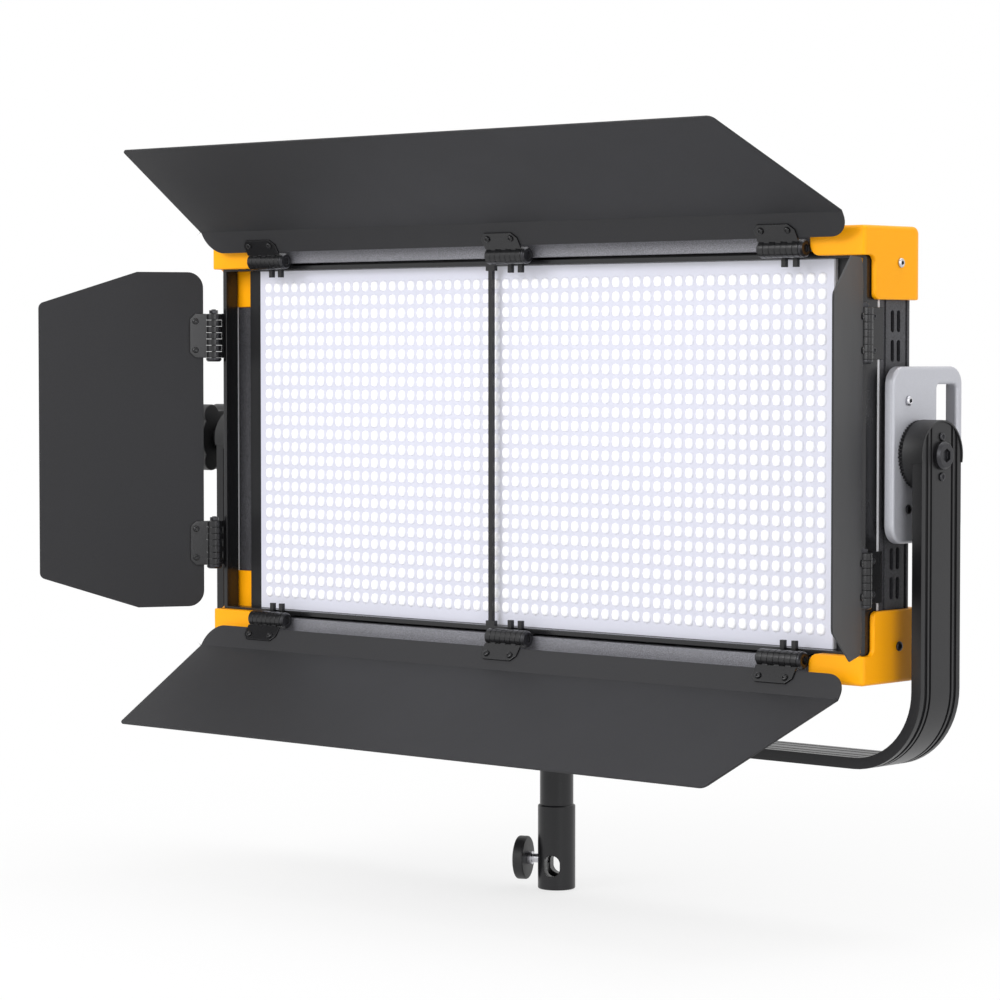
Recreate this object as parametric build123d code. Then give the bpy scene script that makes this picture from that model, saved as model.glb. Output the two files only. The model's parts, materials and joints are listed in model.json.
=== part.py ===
"""LED panel light on a yoke, with four barn doors.

Millimetres, +Z up, and the light shines towards -Y. The origin is the centre of the stand socket's
mouth, at the bottom of the spigot. Pieces of the head and the yoke are drawn about the tilt axis,
with zero at the middle of the head, and are lifted to the tilt axis as they are written.
"""

import os
from math import cos, radians, sin

from build123d import *

# ---- driving dimensions: housing ----------------------------------------------------------------
HEAD_WIDTH = 722.0  # over the side profiles
HEAD_HEIGHT = 348.0  # over the top and bottom rails
SPIGOT_TALL = 132.0  # stand socket's mouth to the yoke's underside
FRONT = -50.0  # front plane of the barn door frame, from the tilt axis
BACK = 6.5  # rear plane of the rails and the side profiles

RAIL_DEEP = 16.0  # height of a rail's section
RAIL_LIP = 4.5  # a rail stands this far in front of the barn door frame
RAIL_WALL = 2.5
RAIL_SHORT = 3.0  # a rail ends this far inside the side profile's outer face
SIDE_THICK = 20.0  # side profile, across the head
SIDE_FRONT = -32.0  # its front face
SIDE_WALL = 3.0
GROOVE_WIDE = 3.0
GROOVE_DEEP = 1.5
SLOT_LONG = 17.0  # vent slots in the side profile
SLOT_WIDE = 4.2
SLOT_PITCH = 23.0
SLOT_COLUMNS = (-16.0, -8.0)

CAP_PROUD = 5.0  # corner caps stand proud of the side profiles
CAP_PROUD_TOP = 3.0  # of the rails
CAP_LIP = 9.0  # of the barn door frame
CAP_BACK = 11.5  # and of the back
CAP_LEG_SETBACK = 5.0  # the leg's front behind the barn door frame's
CAP_ARM = 53.0  # arm along the rail
CAP_LEG = 57.0  # leg down the side profile
CAP_ROUND = 11.0  # along its rear top edge
CAP_EDGE = 3.5  # along its other outer edges
CAP_ARM_CORNER = 9.0  # under the arm's end
CAP_LEG_CORNER = 5.0  # in front of the leg, top and bottom
CAP_SKIN = 2.0

STRIP_THICK = 4.0  # barn door frame, a flat strip on edge
STRIP_DEEP = 14.5
STRIP_GAP = 2.0  # between the strip and the rails
BAR_OFFSET = -31.4  # the frame's upright bar stands off the middle
BAR_SIZE = 4.2
BAR_FOOT = 10.0

# ---- light engine -------------------------------------------------------------------------------
LENS_COLUMNS_LEFT = 29
LENS_COLUMNS_RIGHT = 28
LENS_ROWS = 24
LENS_ABOVE = 22.3  # the lens ends this far inside the housing's top and bottom
LENS_BESIDE = 38.6  # and its sides
LENS_SETBACK = 10.2  # lens face behind the front plane
LENS_THICK = 2.0
LENS_MARGIN = 5.5  # flat rim beside the cushions
LENS_MARGIN_TOP = 8.9  # and above and below them
BEZEL_SETBACK = 15.0
BEZEL_THICK = 4.0
TRAY_DEEP = 19.0
TRAY_WALL = 1.5
BOARD_THICK = 1.6
CHIP_TALL = 0.8
CHIP_WIDE = 3.0
SPREADER_THICK = 3.0

# ---- barn doors and their hinges ----------------------------------------------------------------
LEAF_THICK = 1.5
LEAF_START = 9.8  # the sheet starts this far from the hinge axis
LEAF_FLANGE = 22.5  # first flat of the top and bottom leaves
LEAF_BLADE = 138.0  # and their main flat
LEAF_BEND = 30.0  # between the two flats
LEAF_SHORT = 2.5  # the top and bottom leaves end this far inside the housing at the crease
LEAF_SHORT_TIP = 33.0  # and at the free edge
LEAF_CORNER = 18.0
TIP_CORNER = 6.0
SIDE_LEAF_LONG = 151.0
SIDE_LEAF_SHORT = 22.5  # inside the housing's top and bottom at the hinges
SIDE_LEAF_SHORT_TIP = 51.5  # and at the free edge
SIDE_LEAF_TAPER = 61.0  # where the side leaf starts to narrow
TOP_LEAF_OPEN = 59.0  # the flange above straight ahead, at rest
BOTTOM_LEAF_OPEN = 55.0  # and below it
SIDE_LEAF_OPEN = 28.5  # outward of straight ahead, at rest

HINGE_OUT = 3.8  # hinge axis outside the barn door frame
HINGE_AHEAD = 12.2  # and in front of it, at the top and bottom
SIDE_HINGE_AHEAD = 8.2  # and at the sides
KNUCKLE_R = 7.2
KNUCKLES = 7
HINGE_LONG = 40.0
PIN_R = 2.0
PIN_HEAD = 3.4
PIN_HEAD_INSIDE = 0.2  # the pin's head is this much smaller than a knuckle, all round
PIN_FIT = 0.05  # running clearance round a pin
PLATE_THICK = 1.5
PLATE_GAP = 0.4  # between a plate and the other plate's knuckles
LEAF_PLATE = 12.8  # hinge plate on the leaf, away from the axis
PLATE_CORNER = 5.0
SIDE_PLATE = 20.0  # hinge plate on the frame's side
TOP_HINGE_INSET = 72.0  # hinge centres inside the housing's sides
SIDE_HINGE_INSET = 80.0  # and its top and bottom
HINGE_SCREW_PITCH = 26.0
PRONG_WIDE = 4.3  # square prongs that hook a frame plate over the strip
PRONG_DEEP = 3.8
PRONG_LONG = 10.2
PRONG_KNUCKLES = (2, 4)  # the knuckles they stand under

# ---- yoke, pivots and spigot --------------------------------------------------------------------
YOKE_THICK = 9.0
YOKE_WIDE = 52.0
YOKE_ROOM = 72.0  # underside of the yoke below the housing
YOKE_BEND = 55.0  # inner radius
RIB_DEEP = 1.4
RIB_GROOVES = ((12.5, 15.0), (17.5, 21.0))  # outside, from the arm's middle, each way
INNER_RIB_DEEP = 1.0
INNER_GROOVES = ((5.6, 6.8), (8.0, 9.2), (16.8, 18.0), (19.2, 20.4))  # inside

HANDLE_THICK = 8.0
HANDLE_TALL = 137.0
HANDLE_FRONT = -33.0
HANDLE_BACK = 60.0
HANDLE_CORNER = 14.0
HANDLE_EDGE = 3.0
GRIP_FRONT = 26.0  # hand slot in the handle plate
GRIP_BACK = 52.0
GRIP_TALL = 109.0
GRIP_CORNER = 3.5
GRIP_THICKER = 3.0  # the bar behind the slot is this much thicker, inward
HANDLE_SCREW_Y = -13.0
HANDLE_SCREW_Z = 42.0
PAD_WIDE = 30.0
PAD_TALL = 112.0

HUB_R = 27.4
HUB_THICK = 8.9
HUB_SKIRT = 6.0  # the hub's rim goes this far below the tilt axis
TOOTH_RING = 4.0
TOOTH_R = 27.2
TEETH = 56
TOOTH_DEEP = 2.2
SHAFT_R = 6.0
SHAFT_FIT = 0.05
WASHER_R = 11.0
ARM_SCREW_Z = (14.5, -16.5)
ARM_SCREW_LONG = 4.0
KNOB_LOBES = 6
KNOB_R = 34.0
KNOB_LOBE_R = 9.0
KNOB_LONG = 24.0
KNOB_BOSS_R = 13.0
KNOB_BOSS = 20.0

TUBE_R = 14.3
SLEEVE_R = 16.0
SLEEVE_TALL = 72.0
SOCKET_R = 8.05
SOCKET_DEEP = 66.0
SPIGOT_BOLT_R = 5.0
SPIGOT_BOLT_DEEP = 24.0
SPIGOT_TURN = 24.5  # the lock screw and the cross hole are turned about the spigot
LOCK_HEIGHT = 25.0
LOCK_R = 4.0
LOCK_KNOB_R = 18.5
LOCK_KNOB_THICK = 9.0
LOCK_KNOB_START = 25.3
WINDOW_HEIGHT = 20.5
WINDOW_TALL = 18.5
WINDOW_WIDE = 14.0

# ---- back ---------------------------------------------------------------------------------------
COVER_THICK = 2.0
FIN_DEEP = 14.0
FIN_THICK = 2.0
FIN_PITCH = 13.0
FIN_MARGIN = 8.0  # round each heat sink
FIN_BASE = 2.0
BOX_WIDE = 216.0  # rear control box
BOX_TALL = 196.0
BOX_DEEP = 42.0
BOX_WALL = 2.5
DRIVER_DEEP = 12.0  # boards inside the box, on their posts
POST_LONG = 4.0
POST_R = 4.0
POST_INSET = 8.0
PANEL_THICK = 3.0
PANEL_MARGIN = 8.0
DIAL_R = 14.0
DIAL_LONG = 16.0
BUTTON_R = 5.5
BUTTON_LONG = 3.5
BUTTON_TRAVEL = 1.2
ROCKER = (13.0, 19.0)
ROCKER_PIN_R = 1.0
CLEAR = 0.3  # between pieces that move past each other
SCREW_R = 1.5  # small screws

half_w = HEAD_WIDTH / 2
half_h = HEAD_HEIGHT / 2
rail_in = half_h - RAIL_DEEP
rail_end = half_w - RAIL_SHORT
rail_front = FRONT - RAIL_LIP
strip_out = rail_in - STRIP_GAP
strip_back = FRONT + STRIP_DEEP
side_in = half_w - SIDE_THICK
cap_x = half_w + CAP_PROUD
cap_z = half_h + CAP_PROUD_TOP
cap_screw_z = cap_z - CAP_LEG / 2
cap_front = FRONT - CAP_LIP
cap_back = BACK + CAP_BACK
lens_y = FRONT + LENS_SETBACK
lens_columns = LENS_COLUMNS_LEFT + LENS_COLUMNS_RIGHT
lens_half_w = half_w - LENS_BESIDE
lens_half_h = half_h - LENS_ABOVE
lens_pitch_x = 2 * (lens_half_w - LENS_MARGIN) / lens_columns
lens_pitch_z = 2 * (lens_half_h - LENS_MARGIN_TOP) / LENS_ROWS
lens_seam = (LENS_COLUMNS_LEFT - lens_columns / 2) * lens_pitch_x
bezel_y = FRONT + BEZEL_SETBACK
tray_y = lens_y + LENS_THICK
board_y = tray_y + TRAY_DEEP
cover_y = BACK - COVER_THICK
handle_in = cap_x + CLEAR
handle_out = handle_in + HANDLE_THICK
ring_out = handle_out + TOOTH_RING
hub_in = ring_out + CLEAR
yoke_inside = hub_in + HUB_THICK
yoke_out = yoke_inside + YOKE_THICK
yoke_drop = half_h + YOKE_ROOM
pivot_height = SPIGOT_TALL + yoke_drop
hinge_y = FRONT - HINGE_AHEAD
hinge_z = strip_out + HINGE_OUT
hinge_x = half_w + HINGE_OUT
side_hinge_y = FRONT - SIDE_HINGE_AHEAD
top_hinge_pitch = half_w - TOP_HINGE_INSET
side_hinge_height = half_h - SIDE_HINGE_INSET
box_back = BACK + BOX_DEEP
panel_back = box_back + PANEL_THICK
panel_w = BOX_WIDE / 2 - PANEL_MARGIN
panel_h = BOX_TALL / 2 - PANEL_MARGIN

os.makedirs("parts", exist_ok=True)


# ---- helpers ------------------------------------------------------------------------------------
def block(x, y, z):
    """A box from three (low, high) pairs."""
    size = [high - low for low, high in (x, y, z)]
    middle = [(high + low) / 2 for low, high in (x, y, z)]
    return Pos(*middle) * Box(*size)


def rod(radius, start, direction, length):
    """A cylinder from start, along direction."""
    plane = Plane(origin=start, z_dir=direction)
    return plane * Cylinder(radius, length, align=(Align.CENTER, Align.CENTER, Align.MIN))


def edges_at(shape, axis, **place):
    """The edges along an axis whose middles lie at the given X, Y or Z."""
    edges = shape.edges().filter_by(axis)
    for name, value in place.items():
        edges = [edge for edge in edges if abs(getattr(edge.center(), name) - value) < 0.01]
    return edges


def mirrored_x(shape):
    return mirror(shape, Plane.YZ)


def mirrored_z(shape):
    return mirror(shape, Plane.XY)


def write(name, shapes, lift=pivot_height):
    """One STEP file from a shape or a list of shapes, each kept as its own solid."""
    shapes = shapes if isinstance(shapes, (list, tuple)) else [shapes]
    solids = [solid for shape in shapes for solid in (Pos(0, 0, lift) * shape).solids()]
    whole = solids[0] if len(solids) == 1 else Compound(children=solids)
    export_step(whole, f"parts/{name}.step")
    print(name, len(solids))


def button_screw(radius, tall, start, direction, shank_r, shank):
    """A button head with a hexagon socket that stands on start; its shank goes the other way."""
    low = (Align.CENTER, Align.CENTER, Align.MIN)
    body = Cylinder(radius, tall, align=low)
    body = chamfer(body.edges().group_by(Axis.Z)[-1], tall * 0.4)
    body += Pos(0, 0, -shank) * Cylinder(shank_r, shank, align=low)
    body -= Pos(0, 0, tall * 0.4) * extrude(RegularPolygon(radius * 0.5, 6), tall)
    return Plane(origin=start, z_dir=direction) * body


# ---- housing ------------------------------------------------------------------------------------
def top_rail():
    """A hollow bar over the barn door frame, rounded along its top edges."""
    x = (-rail_end, rail_end)
    rail = block(x, (rail_front, BACK), (rail_in, half_h))
    rail = fillet(rail.edges().filter_by(Axis.X).group_by(Axis.Z)[-1], RAIL_WALL * 0.8)
    inner_y = (rail_front + RAIL_WALL, BACK - RAIL_WALL)
    return rail - block(x, inner_y, (rail_in + RAIL_WALL, half_h - RAIL_WALL))


def side_profile():
    """The right side profile: a hollow extrusion with two grooves and two columns of slots."""
    z = (-rail_in, rail_in)
    profile = block((side_in, half_w), (SIDE_FRONT, BACK), z)
    inner_y = (SIDE_FRONT + SIDE_WALL, BACK - SIDE_WALL)
    profile -= block((side_in + SIDE_WALL, half_w - SIDE_WALL), inner_y, z)
    for groove_y in (SIDE_FRONT + 2 * GROOVE_WIDE, BACK - GROOVE_WIDE * 1.5):
        groove = (groove_y - GROOVE_WIDE / 2, groove_y + GROOVE_WIDE / 2)
        profile -= block((half_w - GROOVE_DEEP, half_w), groove, z)
    slot = Rot(0, 90, 0) * extrude(SlotOverall(SLOT_LONG, SLOT_WIDE), SIDE_WALL * 2, both=True)
    rows = int((cap_z - CAP_LEG - SLOT_LONG / 2) / SLOT_PITCH + 0.5)
    for column in SLOT_COLUMNS:
        for row in range(-rows, rows):
            profile -= Pos(half_w, column, (row + 0.5) * SLOT_PITCH) * slot
    return profile - cap_screw_hole(cap_screw_z) - cap_screw_hole(-cap_screw_z)


def corner_cap():
    """The upper right cap: an arm round the rail's end and a leg round the side profile's."""
    y = (cap_front, cap_back)
    leg_z = (cap_z - CAP_LEG, cap_z)
    leg_front = FRONT + CAP_LEG_SETBACK
    cap = block((cap_x - CAP_ARM, cap_x), y, (strip_out - CAP_SKIN, cap_z))
    cap += block((side_in, cap_x), (SIDE_FRONT - CAP_SKIN, cap_back), leg_z)
    cap += block((half_w + CLEAR, cap_x), (leg_front, cap_back), leg_z)
    arm_low = strip_out - CAP_SKIN
    cap = fillet(edges_at(cap, Axis.Y, X=cap_x - CAP_ARM, Z=arm_low), CAP_ARM_CORNER)
    for corner_z in (arm_low, cap_z - CAP_LEG):
        cap = fillet(edges_at(cap, Axis.X, Y=leg_front, Z=corner_z), CAP_LEG_CORNER)
    top_corner = cap.edges().filter_by(Axis.Y).group_by(Axis.Z)[-1].sort_by(Axis.X)[-1]
    cap = fillet(top_corner, CAP_EDGE)
    rear_top = cap.edges().filter_by(Axis.X).group_by(Axis.Z)[-1].sort_by(Axis.Y)[-1]
    cap = fillet(rear_top, CAP_ROUND)
    front_side = cap.edges().filter_by(Axis.Z).group_by(Axis.X)[-1].sort_by(Axis.Y)[0]
    cap = fillet(front_side, CAP_EDGE)
    cap -= block((0, rail_end), (rail_front, BACK), (rail_in, half_h))
    cap -= block((side_in, half_w), (SIDE_FRONT, BACK), (0, rail_in))
    cap -= block((0, half_w), (FRONT, strip_back), (0, strip_out))
    cap -= block((0, half_w), (cap_front, FRONT), (0, strip_out - CAP_SKIN))
    cap -= block((0, side_in), (strip_back, BACK), (0, rail_in))
    return cap - cap_screw_hole(cap_screw_z)


def cap_screw_hole(high):
    """The hole for a cap's screw, through the cap and the side profile's outer wall."""
    start = (half_w - SIDE_WALL, (SIDE_FRONT + BACK) / 2, high)
    return rod(SCREW_R, start, (1, 0, 0), CAP_PROUD + SIDE_WALL)


def cap_screw(high):
    """The button screw in a cap's side, through to the side profile."""
    start = (cap_x, (SIDE_FRONT + BACK) / 2, high)
    return button_screw(SCREW_R * 2.4, 2.2, start, (1, 0, 0), SCREW_R, CAP_PROUD + SIDE_WALL)


def barn_door_frame():
    """The strip frame that carries the doors, with its upright bar."""
    y = (FRONT, strip_back)
    frame = block((-half_w, half_w), y, (-strip_out, strip_out))
    frame = fillet(frame.edges().filter_by(Axis.Y), STRIP_THICK)
    in_x = half_w - STRIP_THICK
    in_z = strip_out - STRIP_THICK
    frame -= block((-in_x, in_x), y, (-in_z, in_z))
    bar_y = (FRONT, FRONT + BAR_SIZE)
    frame += block((BAR_OFFSET - BAR_SIZE / 2, BAR_OFFSET + BAR_SIZE / 2), bar_y, (-in_z, in_z))
    foot_x = (BAR_OFFSET - BAR_FOOT / 2, BAR_OFFSET + BAR_FOOT / 2)
    foot = block(foot_x, bar_y, (in_z - BAR_SIZE, in_z))
    return frame + foot + mirrored_z(foot)


# ---- light engine -------------------------------------------------------------------------------
def lens_sheet(low_x, high_x):
    """Half of the diffuser, from the seam to its margin."""
    return block((low_x, high_x), (lens_y, tray_y), (-lens_half_h, lens_half_h))


def bezel():
    """The ring between the lens and the housing."""
    y = (bezel_y, bezel_y + BEZEL_THICK)
    ring = block((-side_in, side_in), y, (-rail_in, rail_in))
    return ring - block((-lens_half_w, lens_half_w), y, (-lens_half_h, lens_half_h))


def light_tray():
    """The white walls between the lens and the boards."""
    y = (tray_y, board_y)
    tray = block((-lens_half_w, lens_half_w), y, (-lens_half_h, lens_half_h))
    in_x = lens_half_w - TRAY_WALL
    in_z = lens_half_h - TRAY_WALL
    return tray - block((-in_x, in_x), y, (-in_z, in_z))


def board(low_x, high_x):
    """A circuit board behind half of the lens."""
    return block((low_x, high_x), (board_y, board_y + BOARD_THICK), (-lens_half_h, lens_half_h))


def chip_rows(low_x, high_x):
    """One strip of light-emitting chips behind each row of the lens."""
    rows = []
    for row in range(LENS_ROWS):
        middle = (row + 0.5 - LENS_ROWS / 2) * lens_pitch_z
        z = (middle - CHIP_WIDE / 2, middle + CHIP_WIDE / 2)
        x = (low_x + LENS_MARGIN, high_x - LENS_MARGIN)
        rows.append(block(x, (board_y - CHIP_TALL, board_y), z))
    return rows


def heat_spreader():
    """The aluminium plate behind the boards, let in between the side profiles."""
    y = (board_y + BOARD_THICK, board_y + BOARD_THICK + SPREADER_THICK)
    return block((-side_in, side_in), y, (-rail_in, rail_in))


def rear_cover():
    """The back plate between the rails and the side profiles."""
    plate = block((-side_in, side_in), (cover_y, BACK), (-rail_in, rail_in))
    return plate - block((-12, 12), (cover_y, BACK), (-10, 10))


def spacer_posts():
    """Posts that carry the rear cover on the heat spreader."""
    low = board_y + BOARD_THICK + SPREADER_THICK
    far, near, high = side_in * 0.88, side_in * 0.44, rail_in * 0.76
    spots = [(x, z) for x in (-far, -near, near, far) for z in (-high, high)]
    return [rod(POST_R, (x, low, z), (0, 1, 0), cover_y - low) for x, z in spots]


def fin_block():
    """The right-hand heat sink: a base and upright fins."""
    low_x = BOX_WIDE / 2 + FIN_MARGIN
    fins = int((side_in - FIN_MARGIN - FIN_THICK - low_x) / FIN_PITCH) + 1
    width = (fins - 1) * FIN_PITCH + FIN_THICK
    tall = rail_in - 2 * FIN_MARGIN
    sink = block((low_x, low_x + width), (BACK, BACK + FIN_BASE), (-tall, tall))
    for index in range(fins):
        x = low_x + index * FIN_PITCH
        sink += block((x, x + FIN_THICK), (BACK + FIN_BASE, BACK + FIN_DEEP), (-tall, tall))
    return sink


# ---- rear control box ---------------------------------------------------------------------------
def control_box():
    """A shell on the rear cover, open at its back where the panel closes it."""
    x = (-BOX_WIDE / 2, BOX_WIDE / 2)
    z = (-BOX_TALL / 2, BOX_TALL / 2)
    shell = block(x, (BACK, box_back), z)
    shell = fillet(shell.edges().filter_by(Axis.Y), 8.0)
    in_x = (x[0] + BOX_WALL, x[1] - BOX_WALL)
    in_z = (z[0] + BOX_WALL, z[1] - BOX_WALL)
    return shell - block(in_x, (BACK + BOX_WALL, box_back), in_z)


def on_posts(x, z):
    """A block for a populated board, on four posts from the box's floor."""
    floor = BACK + BOX_WALL
    board_block = block(x, (floor + POST_LONG, floor + POST_LONG + DRIVER_DEEP), z)
    for post_x in (x[0] + POST_INSET, x[1] - POST_INSET):
        for post_z in (z[0] + POST_INSET, z[1] - POST_INSET):
            board_block += rod(POST_R, (post_x, floor, post_z), (0, 1, 0), POST_LONG)
    return board_block


def control_panel():
    """The face of the control box, with an opening for each control and socket."""
    x = (-BOX_WIDE / 2, BOX_WIDE / 2)
    z = (-BOX_TALL / 2, BOX_TALL / 2)
    panel = block(x, (box_back, panel_back), z)
    panel = fillet(panel.edges().filter_by(Axis.Y), 8.0)
    for cutter in (*dial_bores, *button_bores, rocker_bore, window_bore, *socket_bores):
        panel -= cutter
    return panel


def through_panel(radius, spot):
    """A round hole through the panel."""
    return rod(radius, (spot[0], box_back - 1, spot[1]), (0, 1, 0), PANEL_THICK + 2)


DIAL_SPOTS = ((-70.0, 8.0), (70.0, 8.0))
BUTTON_SPOTS = tuple((x, -24.0) for x in (-28.0, 0.0, 28.0))
WINDOW = ((-38.0, 38.0), (14.0, 56.0))
ROCKER_SPOT = (-78.0, -64.0)
INLET_SPOT = (-42.0, -64.0)
DATA_SPOTS = ((4.0, -64.0), (38.0, -64.0))
USB_SPOT = (76.0, -64.0)
STEM_R = 3.0
dial_bores = [through_panel(STEM_R + PIN_FIT, spot) for spot in DIAL_SPOTS]
button_bores = [through_panel(BUTTON_R + CLEAR, spot) for spot in BUTTON_SPOTS]
window_bore = block(WINDOW[0], (box_back, panel_back), WINDOW[1])
panel_y = (box_back, panel_back)


def around(spot, wide, tall):
    """The (low, high) pairs in X and Z about a spot on the panel."""
    return (spot[0] - wide / 2, spot[0] + wide / 2), (spot[1] - tall / 2, spot[1] + tall / 2)


rocker_x, rocker_z = around(ROCKER_SPOT, ROCKER[0], ROCKER[1])
rocker_bore = block(rocker_x, panel_y, rocker_z)
inlet_x, inlet_z = around(INLET_SPOT, 27.0, 20.0)
usb_x, usb_z = around(USB_SPOT, 13.0, 6.0)
socket_bores = [block(inlet_x, panel_y, inlet_z), block(usb_x, panel_y, usb_z)]
socket_bores += [through_panel(11.0, spot) for spot in DATA_SPOTS]


def dial(spot):
    """A knurled knob on a stem that turns in the panel."""
    start = (spot[0], panel_back + CLEAR, spot[1])
    knob = rod(DIAL_R, start, (0, 1, 0), DIAL_LONG)
    knob = chamfer(knob.edges().group_by(Axis.Y)[-1], 1.5)
    for index in range(24):
        turn = radians(index * 15)
        notch = (spot[0] + DIAL_R * cos(turn), panel_back + 4, spot[1] + DIAL_R * sin(turn))
        knob -= rod(0.8, notch, (0, 1, 0), DIAL_LONG)
    stem = rod(STEM_R, (spot[0], box_back - 8, spot[1]), (0, 1, 0), PANEL_THICK + 8 + CLEAR)
    return knob + stem


def encoder(spot):
    """The sensor body behind a dial, with a hole for the stem."""
    x, z = around(spot, 16.0, 16.0)
    body = block(x, (box_back - 9, box_back), z)
    return body - rod(STEM_R + PIN_FIT, (spot[0], box_back - 9, spot[1]), (0, 1, 0), 9)


def push_button(spot):
    """A round cap that is pressed into the panel, with a wider foot behind it."""
    start = (spot[0], box_back - CLEAR, spot[1])
    cap = rod(BUTTON_R, start, (0, 1, 0), CLEAR + PANEL_THICK + BUTTON_LONG)
    cap = chamfer(cap.edges().group_by(Axis.Y)[-1], 0.8)
    return cap + rod(BUTTON_R + 1.5, (spot[0], box_back - 2 - CLEAR, spot[1]), (0, 1, 0), 2)


def rocker():
    """The rocker of the power switch, with a raised half."""
    wide, tall = ROCKER[0] - 4, ROCKER[1] - 5
    x, z = around(ROCKER_SPOT, wide, tall)
    low, mid, high = z[0], ROCKER_SPOT[1], z[1]
    outline = [(box_back - 1, low), (panel_back + 3, low), (panel_back + 0.8, mid)]
    outline += [(panel_back + 1.2, high), (box_back - 1, high)]
    face = make_face(Plane.YZ * Polyline(*outline, close=True))
    return Pos(x[0], 0, 0) * extrude(face, wide) + rocker_pin(ROCKER_PIN_R, ROCKER[0] - 1)


def rocker_pin(radius, length):
    """The pin that the rocker turns on, or the bore for it."""
    return rod(radius, (ROCKER_SPOT[0] - length / 2, box_back + 1, ROCKER_SPOT[1]), (1, 0, 0), length)


def rocker_frame():
    """The switch's frame in the panel."""
    x, z = around(ROCKER_SPOT, ROCKER[0] + 4, ROCKER[1] + 4)
    frame = block(rocker_x, (box_back - 10, panel_back), rocker_z)
    frame += block(x, (panel_back, panel_back + 1), z)
    hole_x, hole_z = around(ROCKER_SPOT, ROCKER[0] - 3, ROCKER[1] - 2)
    frame -= block(hole_x, (box_back - 7, panel_back + 1), hole_z)
    return frame - rocker_pin(ROCKER_PIN_R + PIN_FIT, ROCKER[0] - 1)


def power_inlet():
    """A locking mains inlet with three blades in its well."""
    x, z = around(INLET_SPOT, 31.0, 24.0)
    shell = block(inlet_x, (box_back - 16, panel_back), inlet_z)
    shell += block(x, (panel_back, panel_back + 2), z)
    well_x, well_z = around(INLET_SPOT, 23.0, 16.0)
    shell -= block(well_x, (box_back - 12, panel_back + 2), well_z)
    for dx, dz in ((-7, 0), (7, 0), (0, 3)):
        blade_x = (INLET_SPOT[0] + dx - 1, INLET_SPOT[0] + dx + 1)
        blade_z = (INLET_SPOT[1] + dz - 2, INLET_SPOT[1] + dz + 2)
        shell += block(blade_x, (box_back - 12, panel_back - 1), blade_z)
    return shell


def data_socket(spot):
    """A round five-pole data connector."""
    start = (spot[0], box_back - 12, spot[1])
    shell = rod(11.0, start, (0, 1, 0), 12 + PANEL_THICK)
    shell += rod(12.5, (spot[0], panel_back, spot[1]), (0, 1, 0), 2)
    shell -= rod(8.5, (spot[0], box_back - 8, spot[1]), (0, 1, 0), 8 + PANEL_THICK + 2)
    for index in range(5):
        turn = radians(30 + index * 60)
        pole = (spot[0] + 5 * cos(turn), box_back - 8, spot[1] + 5 * sin(turn))
        shell += rod(1.0, pole, (0, 1, 0), 8)
    return shell


def usb_socket():
    """A small rectangular service socket."""
    shell = block(usb_x, (box_back - 12, panel_back + 0.5), usb_z)
    hole_x, hole_z = around(USB_SPOT, 11.5, 4.5)
    return shell - block(hole_x, (box_back - 10, panel_back + 0.5), hole_z)


# ---- hinges and leaves --------------------------------------------------------------------------
# A hinge is drawn about its axis: X along the pin. For the leaf, Y points along the sheet and Z to its
# outer side. For the frame's half, Y points to the back and Z outward from the frame.
def knuckle_span(index):
    """The (low, high) of one knuckle along the pin."""
    pitch = HINGE_LONG / KNUCKLES
    low = -HINGE_LONG / 2 + index * pitch
    return low + CLEAR / 2, low + pitch - CLEAR / 2


def knuckles(indexes, bore, arm_y, arm_z):
    """Some of the hinge's knuckles, each with the arm that joins it to its plate."""
    shapes = []
    for index in indexes:
        low, high = knuckle_span(index)
        ring = rod(KNUCKLE_R, (low, 0, 0), (1, 0, 0), high - low)
        ring += block((low, high), arm_y, arm_z)
        shapes.append(ring - rod(bore, (low, 0, 0), (1, 0, 0), high - low))
    return shapes


def leaf_half():
    """The hinge plate on the inner face of a leaf, with its knuckles."""
    plate_z = (-LEAF_THICK / 2 - PLATE_THICK, -LEAF_THICK / 2)
    plate_y = (KNUCKLE_R + PLATE_GAP, LEAF_START + LEAF_PLATE)
    plate = block((-HINGE_LONG / 2, HINGE_LONG / 2), plate_y, plate_z)
    plate = chamfer(plate.edges().filter_by(Axis.Z).group_by(Axis.Y)[-1], PLATE_CORNER)
    odd = range(1, KNUCKLES, 2)
    for shape in knuckles(odd, PIN_R + PIN_FIT, (0, LEAF_START), plate_z):
        plate += shape
    for x in (-HINGE_SCREW_PITCH / 2, HINGE_SCREW_PITCH / 2):
        plate -= rod(SCREW_R, (x, LEAF_START + LEAF_PLATE * 0.6, plate_z[0]), (0, 0, 1), PLATE_THICK)
    return plate


def leaf_screws():
    """The two screws of a leaf's hinge plate, heads on the inner face and nuts on the outer."""
    screws = []
    inner = -LEAF_THICK / 2 - PLATE_THICK
    for x in (-HINGE_SCREW_PITCH / 2, HINGE_SCREW_PITCH / 2):
        spot = (x, LEAF_START + LEAF_PLATE * 0.6, inner)
        screw = button_screw(2.8, 1.6, spot, (0, 0, -1), SCREW_R, PLATE_THICK + LEAF_THICK + 2)
        nut = extrude(RegularPolygon(2.8, 6), 1.6)
        screws.append(screw + Pos(spot[0], spot[1], LEAF_THICK / 2) * nut)
    return screws


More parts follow.
